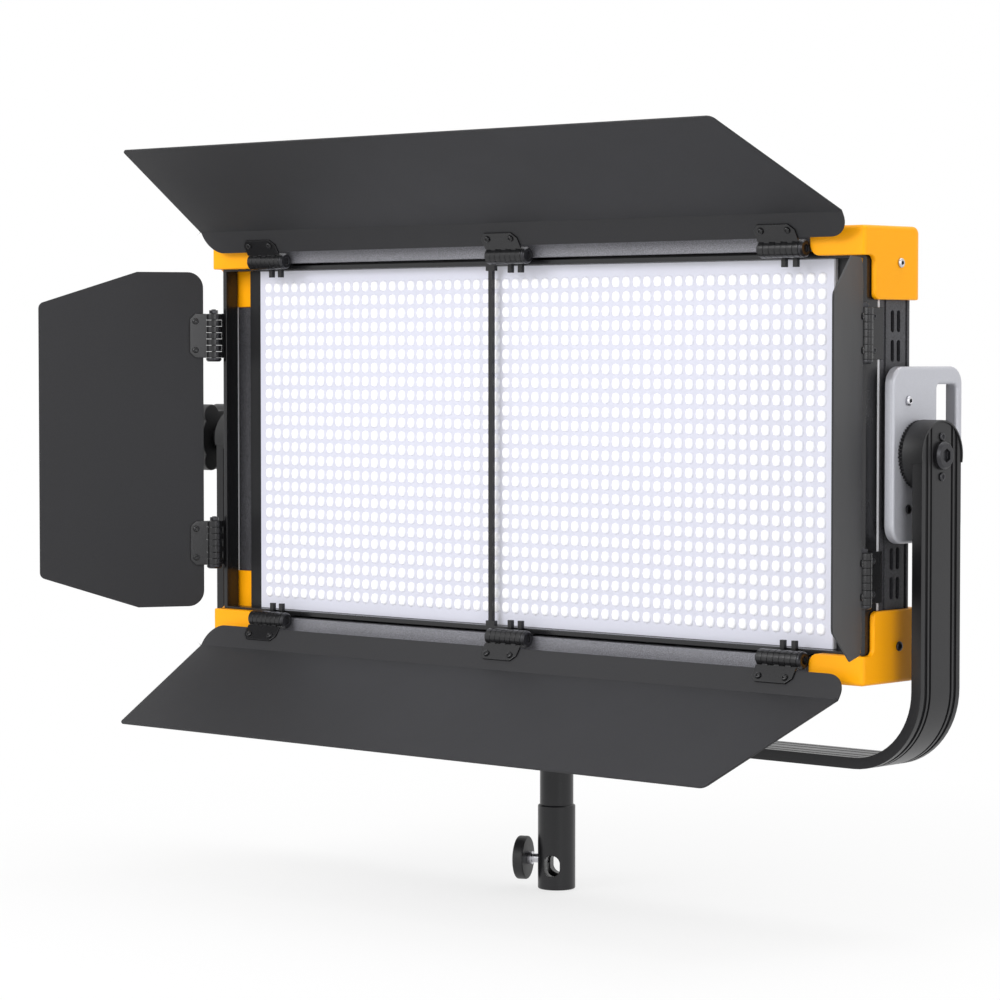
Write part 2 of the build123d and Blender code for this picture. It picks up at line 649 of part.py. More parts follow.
def frame_half(ahead, plate_long, prongs):
    """The hinge plate on the barn door frame, with its knuckles, for an axis that far in front."""
    plate_z = (-HINGE_OUT, -HINGE_OUT + PLATE_THICK)
    plate_y = (KNUCKLE_R + PLATE_GAP, ahead + plate_long)
    plate = block((-HINGE_LONG / 2, HINGE_LONG / 2), plate_y, plate_z)
    even = range(0, KNUCKLES, 2)
    for shape in knuckles(even, PIN_R, (0, plate_y[0]), plate_z):
        plate += shape
    if prongs:
        for index in PRONG_KNUCKLES:
            middle = sum(knuckle_span(index)) / 2
            prong_x = (middle - PRONG_WIDE / 2, middle + PRONG_WIDE / 2)
            prong_y = (ahead - PRONG_DEEP, ahead)
            plate += block(prong_x, prong_y, (plate_z[0] - PRONG_LONG, plate_z[1]))
    else:
        for x in (-HINGE_SCREW_PITCH / 2, HINGE_SCREW_PITCH / 2):
            plate -= rod(SCREW_R, (x, ahead + STRIP_DEEP / 2, plate_z[0]), (0, 0, 1), PLATE_THICK)
    return plate


def hinge_pin():
    """The pin: a screw with a socket head at one end and a nut at the other."""
    half = HINGE_LONG / 2
    pin = button_screw(KNUCKLE_R - PIN_HEAD_INSIDE, PIN_HEAD, (half, 0, 0), (1, 0, 0), PIN_R, HINGE_LONG + 4)
    nut = Plane(origin=(-half, 0, 0), z_dir=(-1, 0, 0)) * extrude(RegularPolygon(4.2, 6), 3.2)
    return pin + nut


def frame_screws(depth):
    """The two screws of a frame plate, from its outer side through the strip."""
    top = -HINGE_OUT + PLATE_THICK
    spots = [(x, depth, top) for x in (-HINGE_SCREW_PITCH / 2, HINGE_SCREW_PITCH / 2)]
    return [button_screw(2.6, 1.4, spot, (0, 0, 1), SCREW_R, PLATE_THICK) for spot in spots]


def sheet(outline, radius, corners):
    """A flat sheet from an outline whose chosen corners are rounded."""
    face = make_face(Polyline(*outline, close=True))
    for group, size in zip(corners, radius):
        face = fillet(face.vertices().filter_by(group), size)
    return extrude(face, LEAF_THICK)


def bent_leaf():
    """The top leaf about its hinge axis: a flange, a crease and a tapering blade."""
    wide, narrow = half_w - LEAF_SHORT, half_w - LEAF_SHORT_TIP
    crease = LEAF_START + LEAF_FLANGE
    outline = [(-wide, crease), (-wide, LEAF_START), (wide, LEAF_START), (wide, crease)]
    flange = sheet(outline, [LEAF_CORNER], [lambda v: v.Y < LEAF_START + 1])
    outline = [(-wide, 0), (wide, 0), (narrow, LEAF_BLADE), (-narrow, LEAF_BLADE)]
    blade = sheet(outline, [TIP_CORNER], [lambda v: v.Y > LEAF_BLADE - 1])
    fold = Pos(0, crease, LEAF_THICK) * Rot(-LEAF_BEND, 0, 0) * Pos(0, 0, -LEAF_THICK)
    leaf = Pos(0, 0, -LEAF_THICK / 2) * (flange + fold * blade)
    for x in (-top_hinge_pitch, 0, top_hinge_pitch):
        leaf -= Pos(x, 0, 0) * leaf_holes()
    return leaf


def flat_leaf():
    """The right side leaf about its hinge axis: one flat that tapers to its free edge."""
    tall, tip = half_h - SIDE_LEAF_SHORT, half_h - SIDE_LEAF_SHORT_TIP
    taper = LEAF_START + SIDE_LEAF_TAPER
    end = LEAF_START + SIDE_LEAF_LONG
    outline = [(-tall, LEAF_START), (tall, LEAF_START), (tall, taper)]
    outline += [(tip, end), (-tip, end), (-tall, taper)]
    corners = [lambda v: v.Y < LEAF_START + 1, lambda v: v.Y > end - 1]
    leaf = Pos(0, 0, -LEAF_THICK / 2) * sheet(outline, [LEAF_CORNER * 0.8, TIP_CORNER], corners)
    for x in (-side_hinge_height, side_hinge_height):
        leaf -= Pos(x, 0, 0) * leaf_holes()
    return leaf


def leaf_holes():
    """Clearance in a leaf for the screws of one hinge plate."""
    y = LEAF_START + LEAF_PLATE * 0.6
    low = -LEAF_THICK
    pair = [rod(SCREW_R, (x * HINGE_SCREW_PITCH / 2, y, low), (0, 0, 1), LEAF_THICK * 2) for x in (-1, 1)]
    return pair[0] + pair[1]


def long_leaf_plane(opened):
    """The plane of a top leaf that is opened by an angle above straight ahead."""
    out = (0, sin(radians(opened)), cos(radians(opened)))
    return Plane(origin=(0, hinge_y, hinge_z), x_dir=(-1, 0, 0), z_dir=out)


top_frame_plane = Plane(origin=(0, hinge_y, hinge_z), x_dir=(1, 0, 0), z_dir=(0, 0, 1))
side_out = (cos(radians(SIDE_LEAF_OPEN)), sin(radians(SIDE_LEAF_OPEN)), 0)
side_leaf_plane = Plane(origin=(hinge_x, side_hinge_y, 0), x_dir=(0, 0, 1), z_dir=side_out)
side_frame_plane = Plane(origin=(hinge_x, side_hinge_y, 0), x_dir=(0, 0, -1), z_dir=(1, 0, 0))
TOP_ROW = (-top_hinge_pitch, 0, top_hinge_pitch)
SIDE_ROW = (-side_hinge_height, side_hinge_height)


def along(plane, row, shapes):
    """Copies of one hinge's shapes at each place along a hinge line."""
    shapes = shapes if isinstance(shapes, list) else [shapes]
    return [plane * (Pos(x, 0, 0) * shape) for x in row for shape in shapes]


# ---- yoke and pivots ----------------------------------------------------------------------------
def u_face(outset):
    """The outline of the yoke's outer or inner side, seen from the front."""
    wide = yoke_inside + outset
    low = -(yoke_drop - YOKE_THICK) - outset
    rect = Pos(0, low / 2) * Rectangle(2 * wide, -low)
    return fillet(rect.vertices().group_by(Axis.Y)[0], YOKE_BEND + outset)


def u_band(low, high, inner, outer):
    """A U-shaped band between two outsets, from low to high along Y."""
    band = Plane.XZ * (u_face(outer) - u_face(inner))
    return Pos(0, high, 0) * extrude(band, high - low)


def yoke():
    """The U bar: two arms, two bends and the bottom, ribbed along its outer and inner sides."""
    half = YOKE_WIDE / 2
    bar = u_band(-half, half, 0, YOKE_THICK)
    end = rod(half, (yoke_inside, 0, 0), (1, 0, 0), YOKE_THICK)
    bar += end + mirrored_x(end)
    for near, far in RIB_GROOVES:
        for low, high in ((near, far), (-far, -near)):
            bar -= u_band(low, high, YOKE_THICK - RIB_DEEP, YOKE_THICK)
            top = block((yoke_out - RIB_DEEP, yoke_out), (low, high), (0, half))
            bar -= top + mirrored_x(top)
    for near, far in INNER_GROOVES:
        for low, high in ((near, far), (-far, -near)):
            bar -= u_band(low, high, 0, INNER_RIB_DEEP)
    bore = rod(SHAFT_R + SHAFT_FIT, (yoke_inside, 0, 0), (1, 0, 0), YOKE_THICK)
    bar -= bore + mirrored_x(bore)
    for z in ARM_SCREW_Z:
        bar -= rod(SCREW_R, (yoke_out - ARM_SCREW_LONG, 0, z), (1, 0, 0), ARM_SCREW_LONG)
    return bar - rod(SPIGOT_BOLT_R, (0, 0, -yoke_drop), (0, 0, 1), YOKE_THICK)


def hub():
    """The right hub: a drum between the handle plate and the arm, with a rim over the arm's end."""
    drum = rod(HUB_R, (hub_in, 0, 0), (1, 0, 0), yoke_out + 1 - hub_in)
    pocket = rod(YOKE_WIDE / 2, (yoke_inside, 0, 0), (1, 0, 0), YOKE_THICK + 1)
    pocket += block((yoke_inside, yoke_out + 1), (-HUB_R, HUB_R), (-HUB_R, -HUB_SKIRT))
    pocket += block((yoke_inside, yoke_out + 1), (-YOKE_WIDE / 2, YOKE_WIDE / 2), (-HUB_R, 0))
    return drum - pocket - rod(SHAFT_R + SHAFT_FIT, (hub_in, 0, 0), (1, 0, 0), yoke_inside - hub_in)


def tooth_ring():
    """The toothed ring on the right handle plate that the hub is clamped against."""
    points = []
    for index in range(2 * TEETH):
        radius = TOOTH_R if index % 2 else TOOTH_R - TOOTH_DEEP
        turn = radians(index * 180 / TEETH)
        points.append((radius * cos(turn), radius * sin(turn)))
    star = make_face(Polyline(*points, close=True)) - Circle(SHAFT_R + SHAFT_FIT)
    plane = Plane(origin=(handle_out, 0, 0), z_dir=(1, 0, 0))
    return plane * extrude(star, TOOTH_RING)


def handle_plate():
    """The right handle plate, with a hand slot behind the housing."""
    y = (HANDLE_FRONT, HANDLE_BACK)
    plate = block((handle_in, handle_out), y, (-HANDLE_TALL / 2, HANDLE_TALL / 2))
    plate = fillet(plate.edges().filter_by(Axis.X), HANDLE_CORNER)
    grip = block((handle_in, handle_out), (GRIP_FRONT, GRIP_BACK), (-GRIP_TALL / 2, GRIP_TALL / 2))
    plate -= fillet(grip.edges().filter_by(Axis.X), GRIP_CORNER)
    outer = plate.faces().sort_by(Axis.X)[-1]
    plate = fillet(outer.edges(), HANDLE_EDGE)
    bar_z = HANDLE_TALL / 2 - HANDLE_CORNER
    plate += block((handle_in - GRIP_THICKER, handle_in), (GRIP_BACK, HANDLE_BACK), (-bar_z, bar_z))
    plate -= rod(SHAFT_R + SHAFT_FIT, (handle_in, 0, 0), (1, 0, 0), HANDLE_THICK)
    for z in (-HANDLE_SCREW_Z, HANDLE_SCREW_Z):
        plate -= rod(SCREW_R * 1.5, (handle_in, HANDLE_SCREW_Y, z), (1, 0, 0), HANDLE_THICK)
    return plate


def mounting_pad():
    """The spacer between the side profile and the handle plate, bored for the tilt shaft."""
    middle = (SIDE_FRONT + BACK) / 2
    y = (middle - PAD_WIDE / 2, middle + PAD_WIDE / 2)
    pad = block((half_w, handle_in), y, (-PAD_TALL / 2, PAD_TALL / 2))
    pad -= rod(SHAFT_R + SHAFT_FIT, (half_w, 0, 0), (1, 0, 0), handle_in - half_w)
    for z in (-HANDLE_SCREW_Z, HANDLE_SCREW_Z):
        pad -= rod(SCREW_R * 1.5, (half_w, HANDLE_SCREW_Y, z), (1, 0, 0), handle_in - half_w)
    return pad


def handle_screws():
    """The two screws of the right handle plate."""
    shank = handle_out - half_w
    spots = [(handle_out, HANDLE_SCREW_Y, z) for z in (-HANDLE_SCREW_Z, HANDLE_SCREW_Z)]
    return [button_screw(4.6, 2.4, spot, (1, 0, 0), SCREW_R * 1.5, shank) for spot in spots]


def pivot_bolt():
    """The fixed bolt of the right pivot, with its wide head on the arm."""
    shank = yoke_out - half_w
    return button_screw(WASHER_R, 5.0, (yoke_out, 0, 0), (1, 0, 0), SHAFT_R, shank)


def arm_screws():
    """The small screws above and below the right pivot bolt."""
    spots = [(yoke_out, 0, z) for z in ARM_SCREW_Z]
    return [button_screw(3.4, 1.6, spot, (1, 0, 0), SCREW_R, ARM_SCREW_LONG) for spot in spots]


def tilt_knob():
    """The star knob at the left pivot."""
    start = yoke_out + CLEAR + KNOB_BOSS
    ring = KNOB_R - KNOB_LOBE_R
    outline = Circle(ring)
    for index in range(KNOB_LOBES):
        turn = radians(index * 360 / KNOB_LOBES + 90)
        outline += Pos(ring * cos(turn), ring * sin(turn)) * Circle(KNOB_LOBE_R)
    plane = Plane(origin=(-start, 0, 0), z_dir=(-1, 0, 0))
    knob = extrude(outline, KNOB_LONG)
    knob = chamfer(knob.edges().group_by(Axis.Z)[-1], 2.5)
    knob += Cylinder(KNOB_BOSS_R + 3, KNOB_LONG + 4, align=(Align.CENTER, Align.CENTER, Align.MIN))
    knob -= Pos(0, 0, -1) * Cylinder(SHAFT_R, KNOB_LONG, align=(Align.CENTER, Align.CENTER, Align.MIN))
    return plane * knob


def knob_boss():
    """The collar between the star knob and the arm."""
    start = (-(yoke_out + CLEAR), 0, 0)
    return rod(KNOB_BOSS_R, start, (-1, 0, 0), KNOB_BOSS) - rod(SHAFT_R, start, (-1, 0, 0), KNOB_BOSS)


def tilt_stud():
    """The stud that the star knob turns, through the arm, the hub and the handle plate."""
    end = yoke_out + CLEAR + KNOB_BOSS + KNOB_LONG - 1
    return rod(SHAFT_R, (-half_w, 0, 0), (-1, 0, 0), end - half_w)


# ---- spigot, drawn from the stand socket's mouth ------------------------------------------------
def across(angle, start, radius, length, height):
    """A cylinder across the spigot; at angle 0 it points to -X, and it turns towards -Y."""
    turn = radians(angle + SPIGOT_TURN)
    way = (-cos(turn), -sin(turn), 0)
    return rod(radius, (way[0] * start, way[1] * start, height), way, length)


def window():
    """The opening across the spigot, at right angles to the lock screw."""
    slot = SlotOverall(WINDOW_TALL, WINDOW_WIDE)
    cut = Rot(90, 0, 0) * extrude(Rot(0, 0, 90) * slot, SLEEVE_R * 1.5, both=True)
    return Rot(0, 0, SPIGOT_TURN) * Pos(0, 0, WINDOW_HEIGHT) * cut


def spigot_core():
    """The tube under the yoke, bored from below to take a stand's stud."""
    core = rod(TUBE_R, (0, 0, 0), (0, 0, 1), SPIGOT_TALL)
    core -= rod(SOCKET_R, (0, 0, 0), (0, 0, 1), SOCKET_DEEP)
    core -= rod(SPIGOT_BOLT_R, (0, 0, SPIGOT_TALL - SPIGOT_BOLT_DEEP), (0, 0, 1), SPIGOT_BOLT_DEEP)
    return core - window() - across(0, 0, LOCK_R + PIN_FIT, SLEEVE_R * 1.5, LOCK_HEIGHT)


def spigot_sleeve():
    """The thicker sleeve round the lower end of the spigot."""
    sleeve = rod(SLEEVE_R, (0, 0, 0), (0, 0, 1), SLEEVE_TALL)
    sleeve = chamfer(sleeve.edges().filter_by(GeomType.CIRCLE), 0.8)
    sleeve -= rod(TUBE_R, (0, 0, 0), (0, 0, 1), SLEEVE_TALL)
    return sleeve - window() - across(0, 0, LOCK_R + PIN_FIT, SLEEVE_R * 1.5, LOCK_HEIGHT)


def lock_screw():
    """The shank that clamps a stand's stud, with its shoulder under the knob."""
    shank = across(0, SOCKET_R + CLEAR, LOCK_R, LOCK_KNOB_START + 4 - SOCKET_R, LOCK_HEIGHT)
    return shank + across(0, LOCK_KNOB_START - 4, LOCK_R + 1.6, 4, LOCK_HEIGHT)


def lock_knob():
    """The thick round knob of the lock screw."""
    knob = across(0, LOCK_KNOB_START, LOCK_KNOB_R, LOCK_KNOB_THICK, LOCK_HEIGHT)
    knob = fillet(knob.edges().filter_by(GeomType.CIRCLE), 1.6)
    return knob - across(0, SOCKET_R + CLEAR, LOCK_R, LOCK_KNOB_START + 4 - SOCKET_R, LOCK_HEIGHT)


def spigot_bolt():
    """The bolt through the bottom of the yoke into the spigot."""
    top = SPIGOT_TALL + YOKE_THICK + 2
    shank = YOKE_THICK + 2 + SPIGOT_BOLT_DEEP - 2
    return button_screw(9.0, 6.0, (0, 0, top), (0, 0, 1), SPIGOT_BOLT_R, shank)


def spigot_washer():
    """The washer under that bolt's head."""
    low = SPIGOT_TALL + YOKE_THICK
    return rod(12.0, (0, 0, low), (0, 0, 1), 2) - rod(SPIGOT_BOLT_R, (0, 0, low), (0, 0, 1), 2)


# ---- write the parts ----------------------------------------------------------------------------
write("spigot_core", spigot_core(), 0)
write("spigot_sleeve", spigot_sleeve(), 0)
write("spigot_bolt", [spigot_bolt(), spigot_washer()], 0)
write("stand_lock_screw", lock_screw(), 0)
write("stand_lock_knob", lock_knob(), 0)

write("yoke", yoke())
write("yoke_hubs", [hub(), mirrored_x(hub())])
write("pivot_bolt_right", [pivot_bolt(), *arm_screws()])
write("tilt_knob", [tilt_knob(), knob_boss()])
write("tilt_knob_stud", tilt_stud())

rail = top_rail()
write("top_rail", rail)
write("bottom_rail", mirrored_z(rail))
profile = side_profile()
write("side_profile_right", profile)
write("side_profile_left", mirrored_x(profile))
cap = corner_cap()
write("corner_cap_top_right", cap)
write("corner_cap_top_left", mirrored_x(cap))
write("corner_cap_bottom_right", mirrored_z(cap))
write("corner_cap_bottom_left", mirrored_z(mirrored_x(cap)))
right_screws = [cap_screw(cap_screw_z), cap_screw(-cap_screw_z), *handle_screws()]
write("housing_screws", right_screws + [mirrored_x(screw) for screw in right_screws])
write("barn_door_frame", barn_door_frame())

write("lens_left", lens_sheet(-lens_half_w, lens_seam))
write("lens_right", lens_sheet(lens_seam, lens_half_w))
write("lens_bezel", bezel())
write("light_tray", light_tray())
write("led_boards", [board(-lens_half_w, lens_seam), board(lens_seam, lens_half_w)])
write("led_rows", chip_rows(-lens_half_w, lens_seam) + chip_rows(lens_seam, lens_half_w))
write("heat_spreader", heat_spreader())
write("spacer_posts", spacer_posts())
write("rear_cover", rear_cover())
write("heat_sinks", [fin_block(), mirrored_x(fin_block())])

write("control_box", control_box())
write("control_panel", control_panel())
write("display_window", window_bore)
write("driver_board", on_posts((-90, 90), (-20, 80)))
write("power_supply", on_posts((-95, 60), (-88, -30)))
write("dimmer_dial", dial(DIAL_SPOTS[0]))
write("colour_dial", dial(DIAL_SPOTS[1]))
write("dial_encoders", [encoder(spot) for spot in DIAL_SPOTS])
for number, spot in enumerate(BUTTON_SPOTS, start=1):
    write(f"menu_button_{number}", push_button(spot))
write("power_rocker", rocker())
write("power_rocker_frame", rocker_frame())
write("power_inlet", power_inlet())
write("data_sockets", [data_socket(spot) for spot in DATA_SPOTS])
write("usb_socket", usb_socket())

pads = [mounting_pad(), mirrored_x(mounting_pad())]
write("mounting_pads", pads)
write("handle_plate_right", handle_plate())
write("handle_plate_left", mirrored_x(handle_plate()))
write("tooth_rings", [tooth_ring(), mirrored_x(tooth_ring())])

top_frame = along(top_frame_plane, TOP_ROW, [frame_half(HINGE_AHEAD, STRIP_DEEP - 2, True)])
side_frame = along(side_frame_plane, SIDE_ROW, [frame_half(SIDE_HINGE_AHEAD, SIDE_PLATE, False)])
top_pins = along(top_frame_plane, TOP_ROW, [hinge_pin()])
side_pins = along(side_frame_plane, SIDE_ROW, [hinge_pin()])
side_pins += along(side_frame_plane, SIDE_ROW, frame_screws(SIDE_HINGE_AHEAD + STRIP_DEEP / 2))


def all_round(top, side):
    """The shapes of the top and right hinge lines, and their mirror images."""
    return top + [mirrored_z(shape) for shape in top] + side + [mirrored_x(shape) for shape in side]


write("hinge_frame_plates", all_round(top_frame, side_frame))
write("hinge_fasteners", all_round(top_pins, side_pins))

top_plane = long_leaf_plane(TOP_LEAF_OPEN)
bottom_plane = long_leaf_plane(BOTTOM_LEAF_OPEN)
side_leaf = side_leaf_plane * flat_leaf()
half_hinge = [leaf_half(), *leaf_screws()]
side_plates = along(side_leaf_plane, SIDE_ROW, half_hinge)
write("door_leaf_top", top_plane * bent_leaf())
write("door_leaf_bottom", mirrored_z(bottom_plane * bent_leaf()))
write("door_leaf_right", side_leaf)
write("door_leaf_left", mirrored_x(side_leaf))
write("leaf_hinges_top", along(top_plane, TOP_ROW, half_hinge))
write("leaf_hinges_bottom", [mirrored_z(shape) for shape in along(bottom_plane, TOP_ROW, half_hinge)])
write("leaf_hinges_right", side_plates)
write("leaf_hinges_left", [mirrored_x(shape) for shape in side_plates])
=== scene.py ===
"""The looks of an LED panel light with barn doors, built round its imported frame."""

import json
import math

import bmesh
import bpy
from bpy.props import FloatProperty, FloatVectorProperty, IntProperty, PointerProperty
from mathutils import Matrix, Vector


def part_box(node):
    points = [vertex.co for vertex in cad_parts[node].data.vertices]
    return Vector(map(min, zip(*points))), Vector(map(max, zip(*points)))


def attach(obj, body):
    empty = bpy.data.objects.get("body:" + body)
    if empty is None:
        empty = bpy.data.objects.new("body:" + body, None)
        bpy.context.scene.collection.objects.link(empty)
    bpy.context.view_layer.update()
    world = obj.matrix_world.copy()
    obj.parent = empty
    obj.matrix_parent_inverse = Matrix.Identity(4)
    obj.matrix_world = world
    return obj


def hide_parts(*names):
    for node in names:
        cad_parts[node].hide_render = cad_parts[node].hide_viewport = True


bl_info = {
    "name": "LED Panel Light",
    "version": (1, 0, 0),
    "blender": (4, 5, 0),
    "location": "View3D > Sidebar > Panel Light",
    "description": "Builds the looks of an LED panel light with barn doors round its packed frame",
    "category": "Add Mesh",
}

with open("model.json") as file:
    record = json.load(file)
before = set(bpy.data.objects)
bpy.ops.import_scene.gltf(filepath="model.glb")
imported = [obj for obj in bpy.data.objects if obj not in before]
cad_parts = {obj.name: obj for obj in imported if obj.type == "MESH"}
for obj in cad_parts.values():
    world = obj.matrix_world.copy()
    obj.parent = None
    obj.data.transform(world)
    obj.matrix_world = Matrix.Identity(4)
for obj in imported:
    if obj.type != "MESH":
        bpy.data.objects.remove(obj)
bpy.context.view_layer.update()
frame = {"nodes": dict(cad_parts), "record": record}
MM = 0.001


# ---- settings -----------------------------------------------------------------------------------
def linear(red, green, blue):
    """A colour as it looks on screen, 0 to 255, as the renderer's own numbers."""
    shares = (level / 255 for level in (red, green, blue))
    return tuple(share / 12.92 if share < 0.0405 else ((share + 0.055) / 1.055) ** 2.4 for share in shares)


def colour_setting(name, description, default):
    return FloatVectorProperty(
        name=name, description=description, subtype="COLOR", size=3, min=0, max=1, default=default
    )


def length_setting(name, description, default):
    return FloatProperty(name=name, description=description, unit="LENGTH", min=0, default=default)


class PanelLightColours(bpy.types.PropertyGroup):
    """Colours of the finishes."""

    leaf: colour_setting("Leaf", "Matt paint on the barn doors", linear(46, 46, 48))
    rail: colour_setting("Rail", "Textured paint on the side profiles and the rear cover", linear(64, 64, 68))
    # A lighter copy of the profiles' paint: painted sheen of the light from above on the top and bottom
    # rails.
    rail_painted_sheen: colour_setting("Rail gloss", "Paint on the top and bottom rails", linear(124, 124, 130))
    yoke: colour_setting("Yoke", "Satin coat on the yoke", linear(34, 34, 36))
    hinge: colour_setting("Hinge", "Black oxide on the hinges", linear(32, 32, 34))
    cap: colour_setting("Cap", "Corner cap plastic", linear(255, 170, 0))
    handle: colour_setting("Handle", "Paint on the handle plates", linear(188, 189, 196))
    lens: colour_setting("Lens", "Diffuser plastic", linear(252, 252, 254))
    # Painted shade: the lilac-grey in the lens's valleys and on its flat rim.
    lens_valley_shade: colour_setting("Lens valleys", "Between the diffuser's cushions", linear(184, 185, 200))
    knob: colour_setting("Knob", "Moulded black plastic", linear(30, 30, 32))
    mark: colour_setting("Mark", "Printed marks on the controls", linear(225, 226, 228))


class PanelLightSizes(bpy.types.PropertyGroup):
    """Sizes of the details."""

    columns_left: IntProperty(name="Left columns", description="Cushions across the left lens", default=29)
    columns_right: IntProperty(name="Right columns", description="Cushions across the right lens", default=28)
    rows: IntProperty(name="Rows", description="Cushions down the lens", default=24)
    lens_margin: length_setting("Lens margin", "Flat rim round the cushions", 5.5 * MM)
    lens_margin_top: length_setting("Lens top margin", "Flat rim above and below them", 8.9 * MM)
    cushion_proud: length_setting("Cushion height", "How far a cushion stands proud", 1.9 * MM)
    seal_wide: length_setting("Seal", "White seal beside the barn door frame", 2.5 * MM)
    screw_radius: length_setting("Screw heads", "Radius of the heads on the housing's sides", 3.8 * MM)
    screw_tall: length_setting("Screw height", "Height of those heads", 1.9 * MM)


class PanelLightStage(bpy.types.PropertyGroup):
    """Camera, floor and lamps."""

    azimuth: FloatProperty(name="Azimuth", description="Camera's bearing from the front", default=42.5)
    elevation: FloatProperty(name="Elevation", description="Camera's height angle", default=2.53)
    focal: FloatProperty(name="Focal length", description="Camera lens in millimetres", default=123.1)
    place: FloatVectorProperty(name="Camera", description="Camera's place", default=(1.9266, -2.1741, 0.4601))
    key: FloatProperty(name="Key", description="Power of the key lamp", default=92.0)
    fill: FloatProperty(name="Fill", description="Power of the fill lamp", default=36.0)
    top: FloatProperty(name="Top", description="Power of the top lamp", default=34.0)
    rim: FloatProperty(name="Rim", description="Power of the lamp behind the right side", default=7.0)
    sky: FloatProperty(name="Sky", description="Strength of the light from all round", default=0.55)


# ---- materials ----------------------------------------------------------------------------------
def add(tree, kind, settings=None, **sockets):
    """A node with its settings and unlinked inputs filled in."""
    node = tree.nodes.new(kind)
    for key, value in (settings or {}).items():
        setattr(node, key, value)
    for key, value in sockets.items():
        node.inputs[key.replace("_", " ")].default_value = value
    return node


def object_coordinates(tree, scale=(1, 1, 1)):
    """Object coordinates, stretched by scale."""
    source = add(tree, "ShaderNodeTexCoord")
    mapping = add(tree, "ShaderNodeMapping", Scale=scale)
    tree.links.new(source.outputs["Object"], mapping.inputs["Vector"])
    return mapping.outputs["Vector"]


def noise(tree, vector, scale, detail=2.0):
    """A noise pattern over a vector."""
    node = add(tree, "ShaderNodeTexNoise", Scale=scale, Detail=detail)
    tree.links.new(vector, node.inputs["Vector"])
    return node.outputs["Fac"]


def ramp(tree, factor, stops):
    """A colour ramp over (position, colour) stops."""
    node = add(tree, "ShaderNodeValToRGB")
    points = node.color_ramp.elements
    while len(points) < len(stops):
        points.new(0.5)
    for point, (position, colour) in zip(points, stops):
        point.position = position
        point.color = (*colour, 1) if len(colour) == 3 else colour
    tree.links.new(factor, node.inputs["Fac"])
    return node.outputs["Color"]


def shade(colour, amount):
    """A colour made lighter or darker."""
    return tuple(min(1.0, c * amount) for c in colour)


def surface(
    name, colour, roughness, metallic=0.0, speckle=0.12, patches=0.06,
    grain=(900, 0.15), streaks=None, mirror=0.5,
):
    """A coated or moulded surface: speckled colour, uneven gloss and a fine grain."""
    material = bpy.data.materials.new(name)
    material.use_nodes = True
    tree = material.node_tree
    shader = tree.nodes["Principled BSDF"]
    shader.inputs["Metallic"].default_value = metallic
    shader.inputs["Specular IOR Level"].default_value = mirror
    vector = object_coordinates(tree, streaks or (1, 1, 1))
    fine = noise(tree, vector, grain[0], 3.0)
    broad = noise(tree, vector, 14.0, 4.0)
    dark, light = shade(colour, 1 - speckle), shade(colour, 1 + speckle)
    fine_colour = ramp(tree, fine, [(0.35, dark), (0.68, light)])
    broad_colour = ramp(tree, broad, [(0.3, (1 - patches,) * 3), (0.7, (1.0, 1.0, 1.0))])
    mix = add(tree, "ShaderNodeMix", {"data_type": "RGBA", "blend_type": "MULTIPLY"}, Factor=1.0)
    tree.links.new(fine_colour, mix.inputs["A"])
    tree.links.new(broad_colour, mix.inputs["B"])
    tree.links.new(mix.outputs["Result"], shader.inputs["Base Color"])
    gloss = add(tree, "ShaderNodeMapRange")
    gloss.inputs["To Min"].default_value = max(0.05, roughness - 0.05)
    gloss.inputs["To Max"].default_value = min(1.0, roughness + 0.07)
    tree.links.new(broad, gloss.inputs["Value"])
    tree.links.new(gloss.outputs["Result"], shader.inputs["Roughness"])
    bump = add(tree, "ShaderNodeBump", Strength=grain[1], Distance=0.0002)
    tree.links.new(fine, bump.inputs["Height"])
    tree.links.new(bump.outputs["Normal"], shader.inputs["Normal"])
    return material


CUSHION_WHITE_FROM = 1.8 * MM  # above the lens face, where the painted shade of the valleys has faded out


def lens_plastic(colours, lens_face):
    """Frosted plastic: white on the cushions, with lilac-grey painted shade in the valleys between them and
    on the flat rim.
    """
    material = bpy.data.materials.new("lens_plastic")
    material.use_nodes = True
    tree = material.node_tree
    shader = tree.nodes["Principled BSDF"]
    vector = object_coordinates(tree)
    parts = add(tree, "ShaderNodeSeparateXYZ")
    tree.links.new(vector, parts.inputs["Vector"])
    # Painted shade: lilac-grey on the lens face, fading to white as the cushions rise.
    height = add(tree, "ShaderNodeMapRange")
    height.inputs["From Min"].default_value = lens_face
    height.inputs["From Max"].default_value = lens_face - CUSHION_WHITE_FROM
    tree.links.new(parts.outputs["Y"], height.inputs["Value"])
    stops = [(0.0, tuple(colours.lens_valley_shade)), (1.0, tuple(colours.lens))]
    colour = ramp(tree, height.outputs["Result"], stops)
    tree.links.new(colour, shader.inputs["Base Color"])
    shader.inputs["Roughness"].default_value = 0.45
    shader.inputs["Emission Color"].default_value = (1, 1, 1, 1)
    shader.inputs["Emission Strength"].default_value = 0.2
    frost = noise(tree, vector, 2500, 2.0)
    bump = add(tree, "ShaderNodeBump", Strength=0.05, Distance=0.0001)
    tree.links.new(frost, bump.inputs["Height"])
    tree.links.new(bump.outputs["Normal"], shader.inputs["Normal"])
    return material


